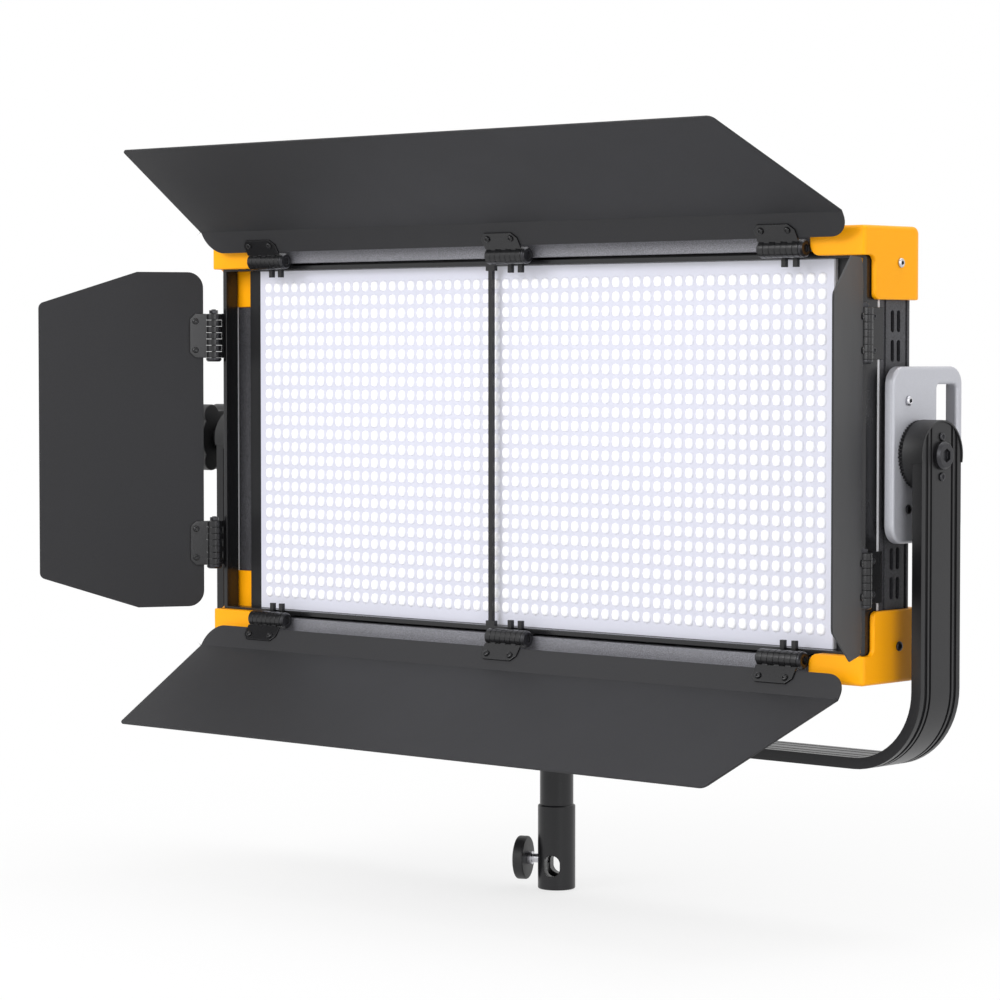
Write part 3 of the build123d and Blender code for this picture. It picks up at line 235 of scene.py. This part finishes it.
def make_finishes(colours):
    """Every finish, by name."""
    return {
        "leaf_paint": surface("leaf_paint", colours.leaf, 0.62, 0.0, 0.10, 0.05, (1500, 0.10), mirror=0.3),
        "rail_paint": surface("rail_paint", colours.rail, 0.50, 0.2, 0.55, 0.08, (1300, 0.45)),
        # The top and bottom rails' finish: the profiles' paint made lighter, painted sheen of the light from
        # above.
        "rail_painted_sheen": surface("rail_painted_sheen", colours.rail_painted_sheen, 0.38, 0.25, 0.45, 0.08, (1300, 0.40)),
        "yoke_coat": surface("yoke_coat", colours.yoke, 0.34, 0.3, 0.12, 0.06, (1600, 0.12)),
        "hinge_black": surface("hinge_black", colours.hinge, 0.26, 0.4, 0.15, 0.10, (1200, 0.12), mirror=0.7),
        "cap_plastic": surface("cap_plastic", colours.cap, 0.42, 0.0, 0.02, 0.04, (1400, 0.06), mirror=0.22),
        "handle_paint": surface("handle_paint", colours.handle, 0.40, 0.25, 0.04, 0.04, (1500, 0.08)),
        "knob_plastic": surface("knob_plastic", colours.knob, 0.48, 0.0, 0.15, 0.08, (1100, 0.30)),
        "bright_metal": surface("bright_metal", linear(205, 205, 210), 0.28, 1.0, 0.03, 0.10, (900, 0.05)),
        "bare_aluminium": surface(
            "bare_aluminium", linear(205, 206, 210), 0.38, 0.9, 0.05, 0.06, (700, 0.10), (1, 1, 6)
        ),
        "black_screw": surface("black_screw", linear(58, 58, 61), 0.28, 0.7, 0.10, 0.10, (900, 0.08)),
        "white_film": surface("white_film", linear(205, 205, 208), 0.5, 0.0, 0.03, 0.03, (800, 0.05)),
        "board_mask": surface("board_mask", linear(228, 232, 228), 0.35, 0.0, 0.03, 0.03, (800, 0.04)),
        "board_green": surface("board_green", linear(24, 92, 52), 0.35, 0.0, 0.25, 0.10, (260, 0.10)),
        "phosphor": surface("phosphor", linear(242, 216, 110), 0.4, 0.0, 0.10, 0.03, (900, 0.05)),
        "smoked_window": surface("smoked_window", linear(18, 24, 34), 0.08, 0.0, 0.02, 0.03, (600, 0.01)),
        "button_rubber": surface("button_rubber", linear(112, 113, 118), 0.6, 0.0, 0.06, 0.04, (1500, 0.15)),
        "printed_mark": surface("printed_mark", colours.mark, 0.5, 0.0, 0.03, 0.03, (1500, 0.05)),
        "display_glow": surface("display_glow", linear(120, 190, 235), 0.4, 0.0, 0.03, 0.03, (1500, 0.02)),
    }


finish = {}
NODE_FINISH = {
    "spigot_core": "yoke_coat", "spigot_sleeve": "yoke_coat", "spigot_bolt": "bright_metal",
    "yoke": "yoke_coat", "yoke_hubs": "knob_plastic", "pivot_bolt_right": "black_screw",
    "stand_lock_screw": "bright_metal", "stand_lock_knob": "knob_plastic",
    "tilt_knob": "knob_plastic", "tilt_knob_stud": "bare_aluminium",
    # The rails' lighter finish is painted sheen.
    "top_rail": "rail_painted_sheen", "bottom_rail": "rail_painted_sheen",
    "side_profile_right": "rail_paint", "side_profile_left": "rail_paint",
    "corner_cap_top_right": "cap_plastic", "corner_cap_top_left": "cap_plastic",
    "corner_cap_bottom_right": "cap_plastic", "corner_cap_bottom_left": "cap_plastic",
    "housing_screws": "bright_metal", "barn_door_frame": "hinge_black",
    "lens_bezel": "yoke_coat", "light_tray": "white_film", "led_boards": "board_mask",
    "led_rows": "phosphor", "heat_spreader": "bare_aluminium", "spacer_posts": "bare_aluminium",
    "rear_cover": "rail_paint", "heat_sinks": "yoke_coat", "control_box": "knob_plastic",
    "control_panel": "knob_plastic", "display_window": "smoked_window", "driver_board": "board_green",
    "power_supply": "bare_aluminium", "dimmer_dial": "knob_plastic", "colour_dial": "knob_plastic",
    "dial_encoders": "bare_aluminium", "menu_button_1": "button_rubber", "menu_button_2": "button_rubber",
    "menu_button_3": "button_rubber", "power_rocker": "knob_plastic", "power_rocker_frame": "knob_plastic",
    "power_inlet": "knob_plastic", "data_sockets": "bright_metal", "usb_socket": "bright_metal",
    "mounting_pads": "rail_paint", "handle_plate_right": "handle_paint", "handle_plate_left": "handle_paint",
    "tooth_rings": "knob_plastic", "hinge_frame_plates": "hinge_black", "hinge_fasteners": "black_screw",
    "door_leaf_top": "leaf_paint", "door_leaf_bottom": "leaf_paint",
    "door_leaf_right": "leaf_paint", "door_leaf_left": "leaf_paint",
    "leaf_hinges_top": "hinge_black", "leaf_hinges_bottom": "hinge_black",
    "leaf_hinges_right": "hinge_black", "leaf_hinges_left": "hinge_black",
}


# ---- shapes -------------------------------------------------------------------------------------
SHARP_ANGLE = math.radians(34)
SAME_POINT = 2e-6
SAME_PLANE = 1e-5


def body_of(node):
    """The body that a CAD node rides on."""
    for body, members in frame["record"]["behaviour"]["bodies"].items():
        if node in members:
            return body
    raise ValueError(f"no body holds {node}")


def piece(name, bm, looks, nodes, smooth=32):
    """A finished piece that stands for one or more CAD nodes of one body, in one or more finishes."""
    made = detail(name, bm, looks, nodes[0], smooth)
    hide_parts(*nodes)
    return made


def detail(name, bm, looks, node, smooth=32):
    """A finished piece that is added to a CAD node's body and stands for no node."""
    mesh = bpy.data.meshes.new(name)
    bm.to_mesh(mesh)
    bm.free()
    for look in looks.split():
        mesh.materials.append(finish[look])
    mesh.shade_smooth()
    mesh.set_sharp_from_angle(angle=math.radians(smooth))
    made = bpy.data.objects.new(name, mesh)
    bpy.context.scene.collection.objects.link(made)
    weighted = made.modifiers.new("weighted", "WEIGHTED_NORMAL")
    weighted.keep_sharp = True
    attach(made, body_of(node))
    return made


def merged(*nodes):
    """The closed shape of one or more CAD nodes, with each flat made one face."""
    bm = bmesh.new()
    for node in nodes:
        bm.from_mesh(frame["nodes"][node].data)
    bmesh.ops.remove_doubles(bm, verts=bm.verts, dist=SAME_POINT)
    bmesh.ops.dissolve_limit(bm, angle_limit=math.radians(0.6), verts=bm.verts, edges=bm.edges)
    return bm


def soften(bm, width, segments=2):
    """Rounds the edges where two faces meet at more than SHARP_ANGLE."""
    edges = [edge for edge in bm.edges if edge.is_manifold and edge.calc_face_angle() > SHARP_ANGLE]
    bmesh.ops.bevel(
        bm, geom=edges, offset=width, offset_type="OFFSET", affect="EDGES", segments=segments,
        profile=0.5, material=-1, clamp_overlap=False,
    )
    many = [face for face in bm.faces if len(face.verts) > 4]
    bmesh.ops.triangulate(bm, faces=many, quad_method="BEAUTY", ngon_method="EAR_CLIP")


def islands(node):
    """The lowest and highest corners of each separate solid of a CAD node."""
    bm = bmesh.new()
    bm.from_mesh(frame["nodes"][node].data)
    bmesh.ops.remove_doubles(bm, verts=bm.verts, dist=SAME_POINT)
    boxes, left = [], set(bm.verts)
    while left:
        group, waiting = set(), [left.pop()]
        while waiting:
            vert = waiting.pop()
            group.add(vert)
            near = {edge.other_vert(vert) for edge in vert.link_edges} & left
            left -= near
            waiting.extend(near)
        corners = list(zip(*(vert.co for vert in group)))
        boxes.append((Vector(map(min, corners)), Vector(map(max, corners))))
    bm.free()
    return sorted(boxes, key=lambda box: tuple(round(value, 5) for value in box[0]))


def new_parts(bm, build, matrix, look=0):
    """Runs build, then moves what it added by matrix and gives it the look of that index."""
    old_verts, old_faces = set(bm.verts), set(bm.faces)
    build(bm)
    bmesh.ops.transform(bm, matrix=matrix, verts=[vert for vert in bm.verts if vert not in old_verts])
    for face in bm.faces:
        if face not in old_faces and face.material_index == 0:
            face.material_index = look


def disc(bm, radius, segments):
    """A flat disc that faces +Z."""
    made = bmesh.ops.create_circle(bm, cap_ends=True, segments=segments, radius=radius)
    face = made["verts"][0].link_faces[0]
    bmesh.ops.recalc_face_normals(bm, faces=[face])
    if face.normal.z < 0:
        bmesh.ops.reverse_faces(bm, faces=[face])
    return face


def steps(bm, face, profile):
    """Insets a face again and again, by (inward, upward) steps."""
    for inward, upward in profile:
        bmesh.ops.inset_individual(bm, faces=[face], thickness=inward, depth=upward, use_even_offset=True)


# (inward as a share of the radius, upward as a share of the height) over a screw head's dome
DOME_STEPS = ((0.06, 0.25), (0.12, 0.22), (0.16, 0.14), (0.1, 0.04))


def socket_screw(radius, tall, socket_shade_look=0):
    """A builder for a domed screw head with a hexagon socket, from its seat at zero up along +Z."""

    def build(bm):
        face = disc(bm, radius, 24)
        raised = bmesh.ops.extrude_face_region(bm, geom=[face])
        top = [part for part in raised["geom"] if isinstance(part, bmesh.types.BMFace)][0]
        bmesh.ops.translate(bm, verts=top.verts, vec=(0, 0, tall * 0.35))
        bm.normal_update()
        for inward, upward in DOME_STEPS:
            steps(bm, top, ((radius * inward, tall * upward),))
        for vert in top.verts:
            turn = math.atan2(vert.co.y, vert.co.x)
            across = math.cos((turn % math.radians(60)) - math.radians(30))
            vert.co.xy = Vector((math.cos(turn), math.sin(turn))) * radius * 0.44 / across
        steps(bm, top, ((radius * 0.03, -tall * 0.08), (radius * 0.01, -tall * 0.55)))
        # The socket's faces take the look of that index; on the bright screws it is the black finish, painted
        # shade in the socket.
        top.material_index = socket_shade_look
        for edge in top.edges:
            for face in edge.link_faces:
                face.material_index = socket_shade_look

    return build


def softened(name, node, width, segments):
    """A piece that follows a CAD node, with its edges rounded."""
    bm = merged(node)
    soften(bm, width, segments)
    return piece(name, bm, NODE_FINISH[node], [node])


def cad_axis(joint):
    """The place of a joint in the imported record."""
    for row in frame["record"]["behaviour"]["joints"]:
        if row["name"] == joint:
            return Vector(row["pos_m"])
    raise ValueError(f"no joint {joint}")


def bar(low, high):
    """A builder for a box between two corners."""

    def build(bm):
        size = Vector(high) - Vector(low)
        made = bmesh.ops.create_cube(bm, size=1.0)
        bmesh.ops.scale(bm, verts=made["verts"], vec=size)
        bmesh.ops.translate(bm, verts=made["verts"], vec=(Vector(high) + Vector(low)) / 2)

    return build


# ---- operators ----------------------------------------------------------------------------------
class PieceOperator:
    """What every operator of this file shares."""

    bl_options = {"REGISTER", "UNDO"}


LAMP_TARGET = Vector((0, 0, 0.35))
FLOOR_RADIUS = 9.0
FLOOR_GAP = 0.5 * MM  # the floor lies this far under the spigot


class PANELLIGHT_OT_stage(PieceOperator, bpy.types.Operator):
    """Set up the floor, the lamps and the camera"""

    bl_idname = "panel_light.stage"
    bl_label = "Stage"

    def execute(self, context):
        stage = context.scene.panel_light_stage
        self.camera(context.scene, stage)
        self.floor(stage)
        self.world(context.scene, stage)
        for name, place, size, power in (
            ("key_lamp", (-0.9, -3.4, 2.1), 2.4, stage.key),
            ("fill_lamp", (3.6, -1.6, 1.3), 2.2, stage.fill),
            ("top_lamp", (0.2, 0.6, 2.8), 2.4, stage.top),
            ("rim_lamp", (3.2, 0.9, 1.0), 1.2, stage.rim),
        ):
            aim = LAMP_TARGET - Vector(place)
            lamp = bpy.data.lights.new(name, "AREA")
            lamp.shape = "DISK"
            lamp.size = size
            lamp.energy = power
            holder = bpy.data.objects.new(name, lamp)
            holder.location = place
            holder.rotation_euler = aim.to_track_quat("-Z", "Y").to_euler()
            context.scene.collection.objects.link(holder)
        context.scene.view_settings.view_transform = "Standard"
        return {"FINISHED"}

    def camera(self, scene, stage):
        """The camera at its bearing and height."""
        data = bpy.data.cameras.new("camera")
        data.lens = stage.focal
        data.sensor_width = 36.0
        data.clip_start = 0.05
        holder = bpy.data.objects.new("camera", data)
        turn, rise = math.radians(stage.azimuth), math.radians(stage.elevation)
        away = Vector((math.sin(turn) * math.cos(rise), -math.cos(turn) * math.cos(rise), math.sin(rise)))
        holder.location = stage.place
        holder.rotation_euler = (-away).to_track_quat("-Z", "Y").to_euler()
        scene.collection.objects.link(holder)
        scene.camera = holder

    def floor(self, stage):
        """A round pale floor under the spigot."""
        bm = bmesh.new()
        bmesh.ops.create_circle(bm, cap_ends=True, segments=96, radius=FLOOR_RADIUS)
        mesh = bpy.data.meshes.new("floor")
        bm.to_mesh(mesh)
        bm.free()
        mesh.transform(Matrix.Translation((0, 0, -FLOOR_GAP)))
        floor = bpy.data.objects.new("floor", mesh)
        bpy.context.scene.collection.objects.link(floor)
        mesh.materials.append(self.pale("floor_pale"))

    def pale(self, name):
        """Pale paint near the object, white to the camera and to reflections further out."""
        material = bpy.data.materials.new(name)
        material.use_nodes = True
        tree = material.node_tree
        paint = tree.nodes["Principled BSDF"]
        paint.inputs["Base Color"].default_value = (0.86, 0.86, 0.86, 1)
        paint.inputs["Roughness"].default_value = 0.9
        glow = add(tree, "ShaderNodeEmission", Color=(1, 1, 1, 1), Strength=1.0)
        source = add(tree, "ShaderNodeTexCoord")
        length = add(tree, "ShaderNodeVectorMath", {"operation": "LENGTH"})
        tree.links.new(source.outputs["Object"], length.inputs[0])
        fade = add(tree, "ShaderNodeMapRange")
        fade.inputs["From Min"].default_value = 0.05
        fade.inputs["From Max"].default_value = 0.9
        fade.inputs["To Min"].default_value = 0.72
        tree.links.new(length.outputs["Value"], fade.inputs["Value"])
        seen = seen_rays(tree)
        share = add(tree, "ShaderNodeMath", {"operation": "MULTIPLY"})
        tree.links.new(fade.outputs["Result"], share.inputs[0])
        tree.links.new(seen, share.inputs[1])
        mix = add(tree, "ShaderNodeMixShader")
        tree.links.new(share.outputs["Value"], mix.inputs["Fac"])
        tree.links.new(paint.outputs["BSDF"], mix.inputs[1])
        tree.links.new(glow.outputs["Emission"], mix.inputs[2])
        tree.links.new(mix.outputs["Shader"], tree.nodes["Material Output"].inputs["Surface"])
        return material

    def world(self, scene, stage):
        """Soft light from all round, and white behind the object."""
        world = bpy.data.worlds.new("studio")
        scene.world = world
        world.use_nodes = True
        tree = world.node_tree
        light = tree.nodes["Background"]
        light.inputs["Color"].default_value = (1, 1, 1, 1)
        light.inputs["Strength"].default_value = stage.sky
        white = add(tree, "ShaderNodeBackground", Color=(1, 1, 1, 1), Strength=1.0)
        mix = add(tree, "ShaderNodeMixShader")
        tree.links.new(seen_rays(tree), mix.inputs["Fac"])
        tree.links.new(light.outputs["Background"], mix.inputs[1])
        tree.links.new(white.outputs["Background"], mix.inputs[2])
        tree.links.new(mix.outputs["Shader"], tree.nodes["World Output"].inputs["Surface"])


def seen_rays(tree):
    """1 for camera, reflection and transmission rays."""
    path = add(tree, "ShaderNodeLightPath")
    total = path.outputs["Is Camera Ray"]
    for kind in ("Is Glossy Ray", "Is Transmission Ray"):
        most = add(tree, "ShaderNodeMath", {"operation": "MAXIMUM"})
        tree.links.new(total, most.inputs[0])
        tree.links.new(path.outputs[kind], most.inputs[1])
        total = most.outputs["Value"]
    return total


class PANELLIGHT_OT_finishes(PieceOperator, bpy.types.Operator):
    """Make the finishes and give every carried-over part its own"""

    bl_idname = "panel_light.finishes"
    bl_label = "Finishes"

    def execute(self, context):
        finish.update(make_finishes(context.scene.panel_light_colours))
        for node, look in NODE_FINISH.items():
            mesh = frame["nodes"][node].data
            mesh.materials.clear()
            mesh.materials.append(finish[look])
        return {"FINISHED"}


# (inward in millimetres, share of the height) from a cushion's foot to its crown
CUSHION_STEPS = ((0.5, 0.34), (0.7, 0.30), (0.9, 0.20), (1.0, 0.11), (0.9, 0.05))
CUSHION_GAP = 0.9 * MM  # flat valley on each side of a cell
CORNER_PULL = 0.78  # a cushion's corners, drawn in towards its middle


class PANELLIGHT_OT_lens(PieceOperator, bpy.types.Operator):
    """Build the two sheets of the cushioned diffuser"""

    bl_idname = "panel_light.lens"
    bl_label = "Lens"

    def execute(self, context):
        sizes = context.scene.panel_light_sizes
        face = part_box("lens_left")[0][1]
        finish["lens_plastic"] = lens_plastic(context.scene.panel_light_colours, face)
        self.sheet("lens_sheet_left", "lens_left", sizes.columns_left, sizes, (1, 0))
        self.sheet("lens_sheet_right", "lens_right", sizes.columns_right, sizes, (0, 1))
        return {"FINISHED"}

    def sheet(self, name, node, columns, sizes, rims):
        """One sheet: a grid whose cells are inset and raised, with a flat rim on its outer sides."""
        low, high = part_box(node)
        margin, margin_top = sizes.lens_margin, sizes.lens_margin_top
        bm = bmesh.new()
        across, down = columns + sum(rims), sizes.rows + 2
        bmesh.ops.create_grid(bm, x_segments=across, y_segments=down, size=0.5)
        left, right = margin * rims[0], margin * rims[1]
        pitch_x = (high[0] - low[0] - left - right) / columns
        pitch_z = (high[2] - low[2] - 2 * margin_top) / sizes.rows

        def line(index, count, rims, rim, pitch, start, end):
            """Where a grid line lies: at an end, or a whole number of cells in from the rim."""
            if rims[0] and index == 0:
                return start
            if rims[1] and index == count:
                return end
            return start + rims[0] * rim + (index - rims[0]) * pitch

        for vert in bm.verts:
            column = round((vert.co.x + 0.5) * across)
            row = round((vert.co.y + 0.5) * down)
            x = line(column, across, rims, margin, pitch_x, low[0], high[0])
            z = line(row, down, (1, 1), margin_top, pitch_z, low[2], high[2])
            vert.co = (x, low[1], z)
        back = bmesh.ops.extrude_face_region(bm, geom=bm.faces[:])
        moved = [part for part in back["geom"] if isinstance(part, bmesh.types.BMVert)]
        bmesh.ops.translate(bm, verts=moved, vec=(0, high[1] - low[1], 0))
        bmesh.ops.recalc_face_normals(bm, faces=bm.faces)
        cells = [
            face for face in bm.faces
            if abs(face.calc_area() / (pitch_x * pitch_z) - 1) < 0.02
            and face.calc_center_median().y < low[1] + SAME_PLANE
        ]
        self.cushions(bm, cells, low[1], sizes.cushion_proud)
        bmesh.ops.recalc_face_normals(bm, faces=bm.faces)
        return piece(name, bm, "lens_plastic", [node], smooth=50)

    def cushions(self, bm, cells, front, proud):
        """Makes each cell an eight-sided outline, then raises it in rounded steps."""
        bmesh.ops.inset_individual(bm, faces=cells, thickness=CUSHION_GAP, depth=0.0, use_even_offset=True)
        edges = list({edge for cell in cells for edge in cell.edges})
        bmesh.ops.subdivide_edges(bm, edges=edges, cuts=1)
        cells = [
            face for face in bm.faces
            if len(face.verts) == 8 and face.calc_center_median().y < front + SAME_PLANE
        ]
        for cell in cells:
            centre = cell.calc_center_median()
            reach = sorted((vert.co - centre).length for vert in cell.verts)
            for vert in cell.verts:
                if (vert.co - centre).length > (reach[0] + reach[-1]) / 2:
                    vert.co = centre + (vert.co - centre) * CORNER_PULL
        bm.normal_update()
        for thickness, depth in CUSHION_STEPS:
            bmesh.ops.inset_individual(
                bm, faces=cells, thickness=thickness * MM, depth=depth * proud, use_even_offset=True
            )


class PANELLIGHT_OT_softened(PieceOperator, bpy.types.Operator):
    """Round the edges of the parts whose shape is already right"""

    bl_idname = "panel_light.softened"
    bl_label = "Rounded parts"

    def execute(self, context):
        for name, node, width, segments in SOFTENED:
            softened(name, node, width * MM, segments)
        return {"FINISHED"}


# piece, CAD node, rounding in millimetres, segments
SOFTENED = (
    ("cap_top_right", "corner_cap_top_right", 1.2, 3),
    ("cap_top_left", "corner_cap_top_left", 1.2, 3),
    ("cap_bottom_right", "corner_cap_bottom_right", 1.2, 3),
    ("cap_bottom_left", "corner_cap_bottom_left", 1.2, 3),
    ("rail_top", "top_rail", 0.5, 2),
    ("rail_bottom", "bottom_rail", 0.5, 2),
    ("profile_right", "side_profile_right", 0.4, 2),
    ("profile_left", "side_profile_left", 0.4, 2),
    ("door_frame", "barn_door_frame", 0.4, 2),
    ("bezel", "lens_bezel", 0.3, 2),
    ("yoke_bar", "yoke", 0.3, 2),
    ("hubs", "yoke_hubs", 0.2, 2),
    ("pivot_bolt", "pivot_bolt_right", 0.3, 2),
    ("toothed_rings", "tooth_rings", 0.3, 1),
    ("handle_right", "handle_plate_right", 0.6, 2),
    ("handle_left", "handle_plate_left", 0.6, 2),
    ("pads", "mounting_pads", 0.6, 2),
    ("star_knob", "tilt_knob", 1.2, 3),
    ("spigot", "spigot_core", 0.4, 2),
    ("sleeve", "spigot_sleeve", 0.4, 2),
    ("clamp_knob", "stand_lock_knob", 0.5, 2),
    ("clamp_screw", "stand_lock_screw", 0.3, 2),
    ("yoke_bolt", "spigot_bolt", 0.3, 1),
    ("frame_hinges", "hinge_frame_plates", 0.3, 2),
    ("hinge_pins", "hinge_fasteners", 0.3, 2),
    ("hinges_top", "leaf_hinges_top", 0.3, 2),
    ("hinges_bottom", "leaf_hinges_bottom", 0.3, 2),
    ("hinges_right", "leaf_hinges_right", 0.3, 2),
    ("hinges_left", "leaf_hinges_left", 0.3, 2),
    ("leaf_top", "door_leaf_top", 0.4, 2),
    ("leaf_bottom", "door_leaf_bottom", 0.4, 2),
    ("leaf_right", "door_leaf_right", 0.4, 2),
    ("leaf_left", "door_leaf_left", 0.4, 2),
    ("box_shell", "control_box", 0.5, 2),
    ("box_panel", "control_panel", 0.6, 2),
    ("fins", "heat_sinks", 0.3, 1),
    ("dial_dimmer", "dimmer_dial", 0.3, 2),
    ("dial_colour", "colour_dial", 0.3, 2),
    ("button_one", "menu_button_1", 0.3, 2),
    ("button_two", "menu_button_2", 0.3, 2),
    ("button_three", "menu_button_3", 0.3, 2),
    ("switch_rocker", "power_rocker", 0.4, 2),
    ("switch_frame", "power_rocker_frame", 0.4, 2),
    ("inlet", "power_inlet", 0.4, 2),
    ("data_shells", "data_sockets", 0.4, 2),
    ("service_socket", "usb_socket", 0.2, 1),
)


class PANELLIGHT_OT_side_screws(PieceOperator, bpy.types.Operator):
    """Build the socket screws of the caps and the handle plates"""

    bl_idname = "panel_light.side_screws"
    bl_label = "Side screws"

    def execute(self, context):
        sizes = context.scene.panel_light_sizes
        middle = cad_axis("tilt").z
        bm = bmesh.new()
        for low, high in islands("housing_screws"):
            centre = (low + high) / 2
            side = 1 if centre.x > 0 else -1
            outer = high.x if side > 0 else low.x
            place = Matrix.Translation((outer - side * sizes.screw_tall, centre.y, centre.z))
            turn = Matrix.Rotation(math.radians(90 * side), 4, "Y")
            # Index 1, the black finish, is painted shade in the sockets of the bright upper screws.
            head = socket_screw(sizes.screw_radius, sizes.screw_tall, 1)
            new_parts(bm, head, place @ turn, 0 if centre.z > middle else 1)
        piece("side_screws", bm, "bright_metal black_screw", ["housing_screws"])
        return {"FINISHED"}


SEAL_CLEAR = 0.5 * MM  # from the frame's strip and from the profile
SEAL_SHORT = 38 * MM  # a seal ends this far inside the profile's ends


class PANELLIGHT_OT_seals(PieceOperator, bpy.types.Operator):
    """Build the white seals beside the barn door frame"""

    bl_idname = "panel_light.seals"
    bl_label = "Side seals"

    def execute(self, context):
        sizes = context.scene.panel_light_sizes
        strip_low, strip_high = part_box("barn_door_frame")
        profile_low, profile_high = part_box("side_profile_right")
        out = strip_high[0]
        for side, name in ((1, "seal_right"), (-1, "seal_left")):
            near, far = sorted((side * (out - sizes.seal_wide), side * out))
            bm = bmesh.new()
            front, back = strip_high[1] + SEAL_CLEAR, profile_low[1] - SEAL_CLEAR
            low = (near, front, profile_low[2] + SEAL_SHORT)
            high = (far, back, profile_high[2] - SEAL_SHORT)
            new_parts(bm, bar(low, high), Matrix())
            soften(bm, 0.4 * MM, 2)
            detail(name, bm, "white_film", "light_tray")
        return {"FINISHED"}


REAR_SCREW_RADIUS = 2.6 * MM
REAR_SCREW_TALL = 1.5 * MM
PANEL_SCREW_INSET = 7 * MM
COVER_SCREW_INSET = 4.2 * MM
COVER_SCREW_SHARES = (0.04, 0.2, 0.36, 0.64, 0.8, 0.96)  # of the cover's width
TICKS = 11  # round a dial
TICK_SWEEP = 270  # degrees from the first to the last
DISPLAY_CELLS = 16  # in each level bar


class PANELLIGHT_OT_rear_details(PieceOperator, bpy.types.Operator):
    """Build the marks on the dials, the display's bars and the rear screws"""

    bl_idname = "panel_light.rear_details"
    bl_label = "Rear details"

    def execute(self, context):
        for node, name in (("dimmer_dial", "dimmer_mark"), ("colour_dial", "colour_mark")):
            self.pointer(name, node)
        self.scale_marks()
        self.display_bars()
        self.rear_screws()
        return {"FINISHED"}

    def pointer(self, name, node):
        """A pointer line let in across a dial's face."""
        low, high = (Vector(corner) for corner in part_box(node))
        centre = (low + high) / 2
        bm = bmesh.new()
        start = (centre.x - 0.7 * MM, high.y - 0.4 * MM, centre.z + 4 * MM)
        end = (centre.x + 0.7 * MM, high.y, high.z - 2.6 * MM)
        new_parts(bm, bar(start, end), Matrix())
        soften(bm, 0.15 * MM, 1)
        detail(name, bm, "printed_mark", node)

    def scale_marks(self):
        """Ticks round each dial, longer at the ends and the middle."""
        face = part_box("control_panel")[1][1]
        bm = bmesh.new()
        for node in ("dimmer_dial", "colour_dial"):
            low, high = (Vector(corner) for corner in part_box(node))
            centre = (low + high) / 2
            reach = (high.x - low.x) / 2 + 3 * MM
            for index in range(TICKS):
                long = 4 * MM if index % 5 == 0 else 2.4 * MM
                tick = bar((-0.35 * MM, face, reach), (0.35 * MM, face + 0.15 * MM, reach + long))
                angle = TICK_SWEEP * (index / (TICKS - 1) - 0.5)
                turn = Matrix.Rotation(math.radians(angle), 4, "Y")
                place = Matrix.Translation((centre.x, 0, centre.z))
                new_parts(bm, tick, place @ turn)
        detail("dial_ticks", bm, "printed_mark", "control_panel")

    def display_bars(self):
        """Two level bars on the display's window."""
        low, high = (Vector(corner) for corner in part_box("display_window"))
        face = high.y
        bm = bmesh.new()
        inset, thin = 4 * MM, 0.12 * MM
        for share, level in ((0.68, 0.8), (0.32, 0.55)):
            z = low.z + (high.z - low.z) * share
            pitch = (high.x - low.x - 2 * inset) / DISPLAY_CELLS
            for index in range(DISPLAY_CELLS):
                x = low.x + inset + index * pitch
                tall = 3.2 * MM if index < DISPLAY_CELLS * level else 0.8 * MM
                new_parts(bm, bar((x, face, z - tall), (x + pitch * 0.7, face + thin, z + tall)), Matrix())
        detail("display_levels", bm, "display_glow", "display_window")

    def rear_screws(self):
        """The screws of the control panel and of the rear cover."""
        bm = bmesh.new()
        turn = Matrix.Rotation(math.radians(-90), 4, "X")
        screw = socket_screw(REAR_SCREW_RADIUS, REAR_SCREW_TALL)
        low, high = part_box("control_panel")
        for x in (low[0] + PANEL_SCREW_INSET, high[0] - PANEL_SCREW_INSET):
            for z in (low[2] + PANEL_SCREW_INSET, high[2] - PANEL_SCREW_INSET):
                new_parts(bm, screw, Matrix.Translation((x, high[1], z)) @ turn)
        low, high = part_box("rear_cover")
        for share in COVER_SCREW_SHARES:
            for z in (low[2] + COVER_SCREW_INSET, high[2] - COVER_SCREW_INSET):
                x = low[0] + (high[0] - low[0]) * share
                new_parts(bm, screw, Matrix.Translation((x, high[1], z)) @ turn)
        detail("rear_screws", bm, "black_screw", "rear_cover")


class PANELLIGHT_PT_sidebar(bpy.types.Panel):
    """The panel light's sizes, colours and pieces"""

    bl_label = "Panel Light"
    bl_idname = "PANELLIGHT_PT_sidebar"
    bl_space_type = "VIEW_3D"
    bl_region_type = "UI"
    bl_category = "Panel Light"

    def draw(self, context):
        layout = self.layout
        scene = context.scene
        for group in (scene.panel_light_sizes, scene.panel_light_colours, scene.panel_light_stage):
            column = layout.column(align=True)
            for key in group.bl_rna.properties.keys():
                if key not in ("rna_type", "name"):
                    column.prop(group, key)
        for operator in OPERATORS:
            layout.operator(operator.bl_idname)


OPERATORS = (
    PANELLIGHT_OT_stage,
    PANELLIGHT_OT_finishes,
    PANELLIGHT_OT_lens,
    PANELLIGHT_OT_softened,
    PANELLIGHT_OT_side_screws,
    PANELLIGHT_OT_seals,
    PANELLIGHT_OT_rear_details,
)
GROUPS = (PanelLightSizes, PanelLightColours, PanelLightStage)


def register():
    for cls in (*GROUPS, *OPERATORS, PANELLIGHT_PT_sidebar):
        bpy.utils.register_class(cls)
    bpy.types.Scene.panel_light_sizes = PointerProperty(type=PanelLightSizes)
    bpy.types.Scene.panel_light_colours = PointerProperty(type=PanelLightColours)
    bpy.types.Scene.panel_light_stage = PointerProperty(type=PanelLightStage)


def unregister():
    del bpy.types.Scene.panel_light_stage
    del bpy.types.Scene.panel_light_colours
    del bpy.types.Scene.panel_light_sizes
    for cls in reversed((*GROUPS, *OPERATORS, PANELLIGHT_PT_sidebar)):
        bpy.utils.unregister_class(cls)


def main():
    """Builds everything."""
    register()
    for operator in OPERATORS:
        section, name = operator.bl_idname.split(".")
        getattr(getattr(bpy.ops, section), name)()


if __name__ == "__main__":
    main()
